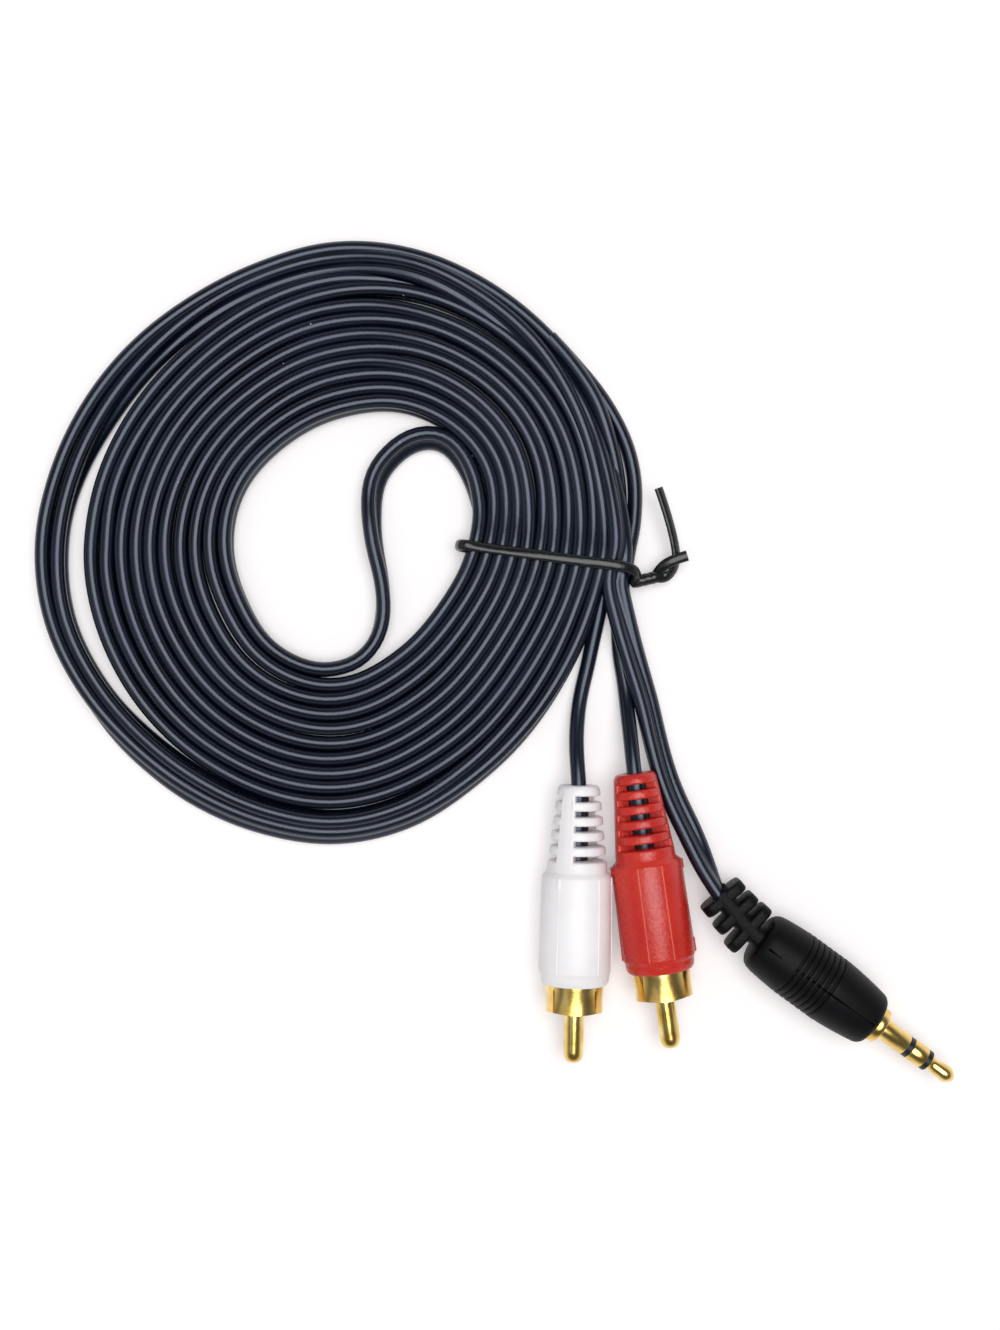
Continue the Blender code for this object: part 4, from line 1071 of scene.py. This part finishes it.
def band_matrices(stations):
    """At each station: X across the band, Y through its thickness, Z along it."""
    for k, (middle, thin) in enumerate(stations):
        before, _, after, _ = four_about(stations, k)
        ahead = (after[0] - before[0]).normalized()
        wide = ahead.cross(thin).normalized()
        matrix = Matrix((wide, ahead.cross(wide), ahead)).transposed().to_4x4()
        matrix.translation = middle
        yield matrix


def swept_band(stations):
    shape = bmesh.new()
    matrices = list(band_matrices(stations))
    ring = bmesh.ops.create_circle(shape, cap_ends=True, segments=20, radius=1.0)["verts"]
    for vert in ring:
        vert.co.x = squared_off(vert.co.x, TIE_POWER) * TIE_WIDE / 2
        vert.co.y = squared_off(vert.co.y, TIE_POWER) * TIE_THICK / 2
    bmesh.ops.transform(shape, matrix=matrices[0], verts=ring)
    pairs = zip(matrices, matrices[1:])
    extrude_on(shape, ring, [after @ before.inverted() for before, after in pairs])
    return shape


tie_plastic, tree, at = new_material("extruded_tie_plastic")
waves = noise(tree, at, 700.0, 3.0)
plain_skin(tree, {
    "Base Color": two_tones(tree, waves, 0.3, "#08090a", 0.7, "#131518"),
    "Roughness": 0.27, "IOR": 1.54, "Normal": relief_of(tree, waves, 0.5, 0.00015),
})
in_coil = Matrix.Scale(MM, 4)
in_coil.translation = place(0, 0, 0)
tie_band = settle(
    "tie_band", swept_band(band_stations), in_coil, [tie_plastic], "black_tie_plastic", "twist_tie",
)
print(len(tie_band.data.polygons), "faces on the tie")

# %% [markdown]
# ## What hides inside
# The insulators and the tinned wires keep their solids. Cream nylon is seen inside the
# shells; tinned copper is grey and dull, and shows only in a section.

# %% Inner pieces
cream_nylon = moulded_pvc("moulded_cream_nylon", "#e2d7bd", "#ebe2cc", 0.4, 900.0, 0.00002)
wire_metal, tree, at = new_material("tinned_copper_wire")
dull = rescaled(tree, noise(tree, at, 1200.0), 0.0, 1.0, 0.3, 0.5)
plain_skin(tree, {"Base Color": srgb("#b9b5ae"), "Metallic": 1.0, "Roughness": dull})
for name, solid in nodes.items():
    if name.endswith("_wire"):
        wear(solid, wire_metal)
    elif name in ("white_insulator", "red_insulator"):
        wear(solid, cream_nylon)
print("inner pieces finished")

# %% [markdown]
# ## The cords' solids
# The solids that the cords stand for are hidden: the coil, the S, the jack's tail and the
# two leads. The split is where all three cords meet.

split = tuple(place(*twin_route[0][:3]))
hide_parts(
    "cord_coil", "fold_upper_core", "fold_lower_core", "jack_tail_left_core",
    "jack_tail_right_core",
)
[tuple(place(*s[:3])) for s in twin_route]
for colour, (core, route, length) in cores.items():
    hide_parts(colour + "_lead")
    [tuple(place(*s[:3])) for s in route]

# %% [markdown]
# ## Lamps
# The main light is one large soft lamp nearly overhead, so that its mirror image runs
# along every ridge and down the middle of each plug. A weak one stands on the left. The
# Standard view shows each colour as it was written.

# %% View and lamps
def area_lamp(name, x, y, z, size, watts):
    """A round soft lamp that looks at the origin."""
    data = bpy.data.lights.new(name, "AREA")
    data.shape = "DISK"
    data.size = size
    data.energy = watts
    lamp = linked(name, data)
    lamp.location = (x, y, z)
    lamp.rotation_euler = (-Vector((x, y, z))).to_track_quat("-Z", "Y").to_euler()


bpy.context.scene.view_settings.view_transform = "Standard"
area_lamp("key_softbox", 0.05, 0.03, 0.80, size=0.70, watts=5.0)
area_lamp("fill_softbox", -0.45, -0.05, 0.62, size=0.50, watts=0.3)
print("two lamps")

# %% [markdown]
# ## White surround
# The camera sees plain white beyond the table. As light the surround is weaker, or it
# would wash the shadows out. In reflections it is pale near the horizon and dark
# overhead, so that gold and glossy plastic get dark bands beside their bright one. A
# light path node tells the rays apart.

# %% World
SURROUND_LIGHT = 0.31


def seen_directly(tree, rays):
    """1 for a ray from the camera, also through something clear, and 0 for others."""
    rays = {0: rays["Is Camera Ray"], 1: rays["Is Transmission Ray"]}
    return node(tree, "ShaderNodeMath", rays, operation="MAXIMUM").outputs[0]


world = bpy.data.worlds.new("white_surround")
world.use_nodes = True
tree = world.node_tree
tree.nodes.clear()
rays = node(tree, "ShaderNodeLightPath").outputs
level = rescaled(tree, seen_directly(tree, rays), 0.0, 1.0, SURROUND_LIGHT, 1.0)
direction = node(
    tree, "ShaderNodeSeparateXYZ", {"Vector": node(tree, "ShaderNodeTexCoord").outputs["Generated"]},
)
ceiling = rescaled(tree, direction.outputs["Z"], 0.1, 0.6, 0.75, 0.10, interpolation_type="SMOOTHSTEP")
mirrored = node(tree, "ShaderNodeMix", {"Factor": rays["Is Glossy Ray"], "A": level, "B": ceiling})
surround = {"Color": (1, 1, 1, 1), "Strength": mirrored.outputs["Result"]}
backdrop = node(tree, "ShaderNodeBackground", surround)
node(tree, "ShaderNodeOutputWorld", {"Surface": backdrop.outputs["Background"]})
bpy.context.scene.world = world
print("a white surround")

# %% [markdown]
# ## Table
# The table is a pale matte sheet. To the camera, and in reflections, some white is
# added to it, more of it further off where the lamps don't reach, so that it reads as
# white from every side and still keeps the shadow.

# %% Table
TABLE_HALF = 1.5
WHITE_FROM, WHITE_TO = 0.25, 0.8

sheet = bmesh.new()
bmesh.ops.create_grid(sheet, x_segments=1, y_segments=1, size=TABLE_HALF)
table_data = bpy.data.meshes.new("table_top")
sheet.to_mesh(table_data)
sheet.free()
table_top = linked("table_top", table_data)

table_finish, tree, at = new_material("matte_white_table")
rays = node(tree, "ShaderNodeLightPath").outputs
shown = {0: seen_directly(tree, rays), 1: rays["Is Glossy Ray"]}
shown = node(tree, "ShaderNodeMath", shown, operation="MAXIMUM").outputs[0]
far_off = node(tree, "ShaderNodeVectorMath", {0: at}, operation="LENGTH").outputs["Value"]
white_added = rescaled(
    tree, far_off, WHITE_FROM, WHITE_TO, 0.25, 0.95, interpolation_type="SMOOTHSTEP",
)
lift = node(tree, "ShaderNodeMath", {0: shown, 1: white_added}, operation="MULTIPLY").outputs[0]
glow = node(tree, "ShaderNodeEmission", {"Color": (1, 1, 1, 1), "Strength": lift})
paint = node(tree, "ShaderNodeBsdfDiffuse", {"Color": srgb("#ebe7e8")})
both = {0: paint.outputs["BSDF"], 1: glow.outputs["Emission"]}
finish_with(tree, node(tree, "ShaderNodeAddShader", both).outputs["Shader"])
wear(table_top, table_finish)
print("a table", 2 * TABLE_HALF, "m across")
